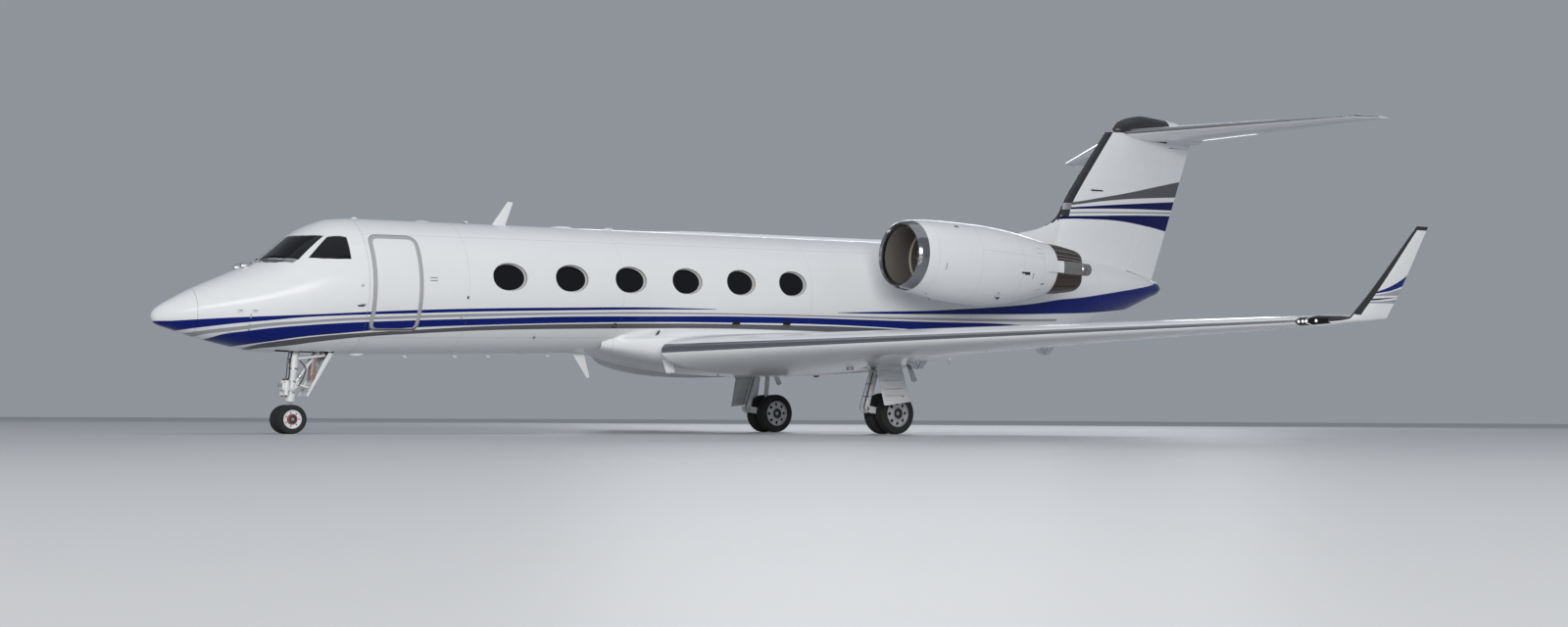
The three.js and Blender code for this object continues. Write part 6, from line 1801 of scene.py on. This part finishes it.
# Small parts on the sides: vanes, static ports, vents, fuel and service points
noseParts, cabinParts, aftParts = [], [], []
for side in (-1, 1):
    noseParts.append(disc(oval((3.17, -0.40), 0.13, 0.035), side, -0.004, 0.005, index=2))
    vane = sidePoint(3.19, -0.385, side)
    noseParts += [
        tagged(slab([(3.12, -0.395), (3.24, -0.388), (3.24, -0.378), (3.16, -0.372)], vane.y, vane.y + side * 0.045,
                    "y", 0.002), 4),
        disc(oval((3.18, -0.06), 0.045, 0.045), side, -0.002, 0.003, index=4)]
    for x, z in ((1.24, -0.475), (1.46, -0.475)):
        root = sidePoint(x, z, side)
        out = (root - onBody(x, quarter(x, z, side), 0.1)).normalized()
        noseParts.append(tagged(tube([root - out * 0.01, root + out * 0.07,
                                      root + out * 0.085 + Vector((-0.03, 0, 0.0)),
                                      root + out * 0.085 + Vector((-0.08, 0, 0.003))], 0.006, 10), 4))
    for x, z in ((1.40, -0.56), (1.40, -0.60), (1.40, -0.72), (1.40, -0.80), (1.12, -0.85)):
        noseParts.append(disc(oval((x, z), 0.028, 0.028), side, -0.002, 0.003, index=4))
    for z in (0.05, 0.10):
        cabinParts.append(disc(roundedBox(4.40, 4.54, z - 0.008, z + 0.008, 0.004, 3), side, -0.002, 0.003, index=4))
    cabinParts += [
        disc(oval((5.12, -0.236), 0.035, 0.06), side, -0.002, 0.003, index=2),
        disc(oval((5.05, -0.60), 0.03, 0.05), side, -0.002, 0.003, index=4),
        disc(oval((8.20, -0.71), 0.10, 0.10), side, -0.002, 0.004, low=0.62, rings=2, index=2),
        disc(oval((6.62, -0.93), 0.05, 0.05), side, -0.002, 0.004, low=0.3, rings=2, index=4)]
    for x in (10.88, 12.11):
        cabinParts.append(disc(roundedBox(x - 0.09, x + 0.09, -0.70, -0.62, 0.02, 3), side, -0.09, 0.004, index=2))
    hatch = roundedBox(17.35, 18.25, -0.10, 0.62, 0.08)
    aftParts.append(disc(hatch, side, -0.0015, 0.003, low=0.985, rings=1, index=2))
makePiece("noseFittings", joined(*noseParts), lampSlots, ["nose_shell"])
makePiece("cabinFittings", joined(*cabinParts), lampSlots, ["cabin_side_left", "cabin_side_right"])
makePiece("rearFittings", joined(*aftParts), lampSlots, ["aft_fuselage"])

# Bare metal sill under the windscreens, with the wipers and the humps over their motors
screenParts = []
for side in (-1, 1):
    strip = [(x - 0.085, turn) for x, turn in screenLow]
    screenParts.append(nosePane(strip, [(x - 0.006, turn) for x, turn in screenLow], side, -0.0015, 0.003, 20, 2, 3))
    arm = [onBody(1.74, math.radians(82 if side > 0 else 98), -0.016),
           onBody(1.83, math.radians(70 if side > 0 else 110), -0.020),
           onBody(1.93, math.radians(57 if side > 0 else 123), -0.018)]
    screenParts.append(tagged(tube(arm, 0.008, 8), 2))
    blade = [onBody(1.80, math.radians(80 if side > 0 else 100), -0.010),
             onBody(1.90, math.radians(66 if side > 0 else 114), -0.010),
             onBody(2.02, math.radians(52 if side > 0 else 128), -0.010)]
    screenParts.append(tagged(tube(blade, 0.009, 8), 2))
    hump = onBody(1.54, math.radians(90 - side * 12))
    screenParts += [
        dome(hump, 0.26, 0.09, 0.055, 4),
        tagged(tube([hump + Vector((-0.06, 0, 0.05)), hump + Vector((0.10, side * 0.02, 0.085)),
                     hump + Vector((0.30, side * 0.09, 0.085))], 0.012, 8), 4),
        tagged(rod(arm[0] - Vector((0, 0, 0.03)), arm[0] + Vector((0, 0, 0.012)), 0.020, steps=20), 3)]
makePiece("windscreenFittings", joined(*screenParts), lampSlots,
          ["windscreen_left", "windscreen_right"])

# Lamps behind glass in the wing tips, blisters under the wing and small slots on the fin
for side, word in sides:
    parts = []

    def onTip(y, mark):
        return onWing(y, mark, side) if y < 11.3 else onWinglet((y - 11.3) / 0.11 * 0.49, mark, side)
    tipYs = evenly(11.16, 11.40, 8)
    cover = sheet(tipYs, [k / 10 * 0.26 for k in range(-10, 11)],
                  lambda y, mark: onTip(y, mark) + Vector((-0.003, 0, 0.0015 * (1 if mark > 0 else -1))))
    parts.append(thickened(cover, 0.0015, 1))
    for y in (11.20, 11.255, 11.30, 11.345):
        spot = onTip(y, 0.0)
        parts.append(dome((spot.x + 0.002, spot.y, spot.z), 0.06, 0.040, 0.026, 6))
    for y, mark in ((5.95, -0.56), (6.43, -0.56), (6.88, -0.57), (7.10, -0.60), (7.81, -0.56), (9.30, -0.60),
                    (10.2, -0.6)):
        spot = onWing(y, mark, side)
        parts.append(dome((spot.x, spot.y, spot.z + 0.003), 0.12, 0.04, 0.013, 0))
    parts.append(mast(15.16, 15.22, -1.34, -1.53, 0.02, 0.010, side * 2.49))
    makePiece(f"wingLamps_{word}", joined(*parts), lampSlots, [f"wing_{word}"])
finParts = []
# Slots on the fin in near black: painted shade inside them
for side in (-1, 1):
    skin = onFin(2.66, side * 0.445).y
    finParts.append(tagged(box((21.90, min(skin, skin + side * 0.004) - 0.01, 2.645),
                               (22.30, max(skin, skin + side * 0.004) + 0.01, 2.68), 0.01), 2))
makePiece("finFittings", joined(*finParts), lampSlots, ["fin"])
tail = [dome((24.325, 0, 0.335), 0.06, 0.10, 0.05, 6)]
makePiece("tailLamp", joined(*tail), lampSlots, ["tail_cone"])
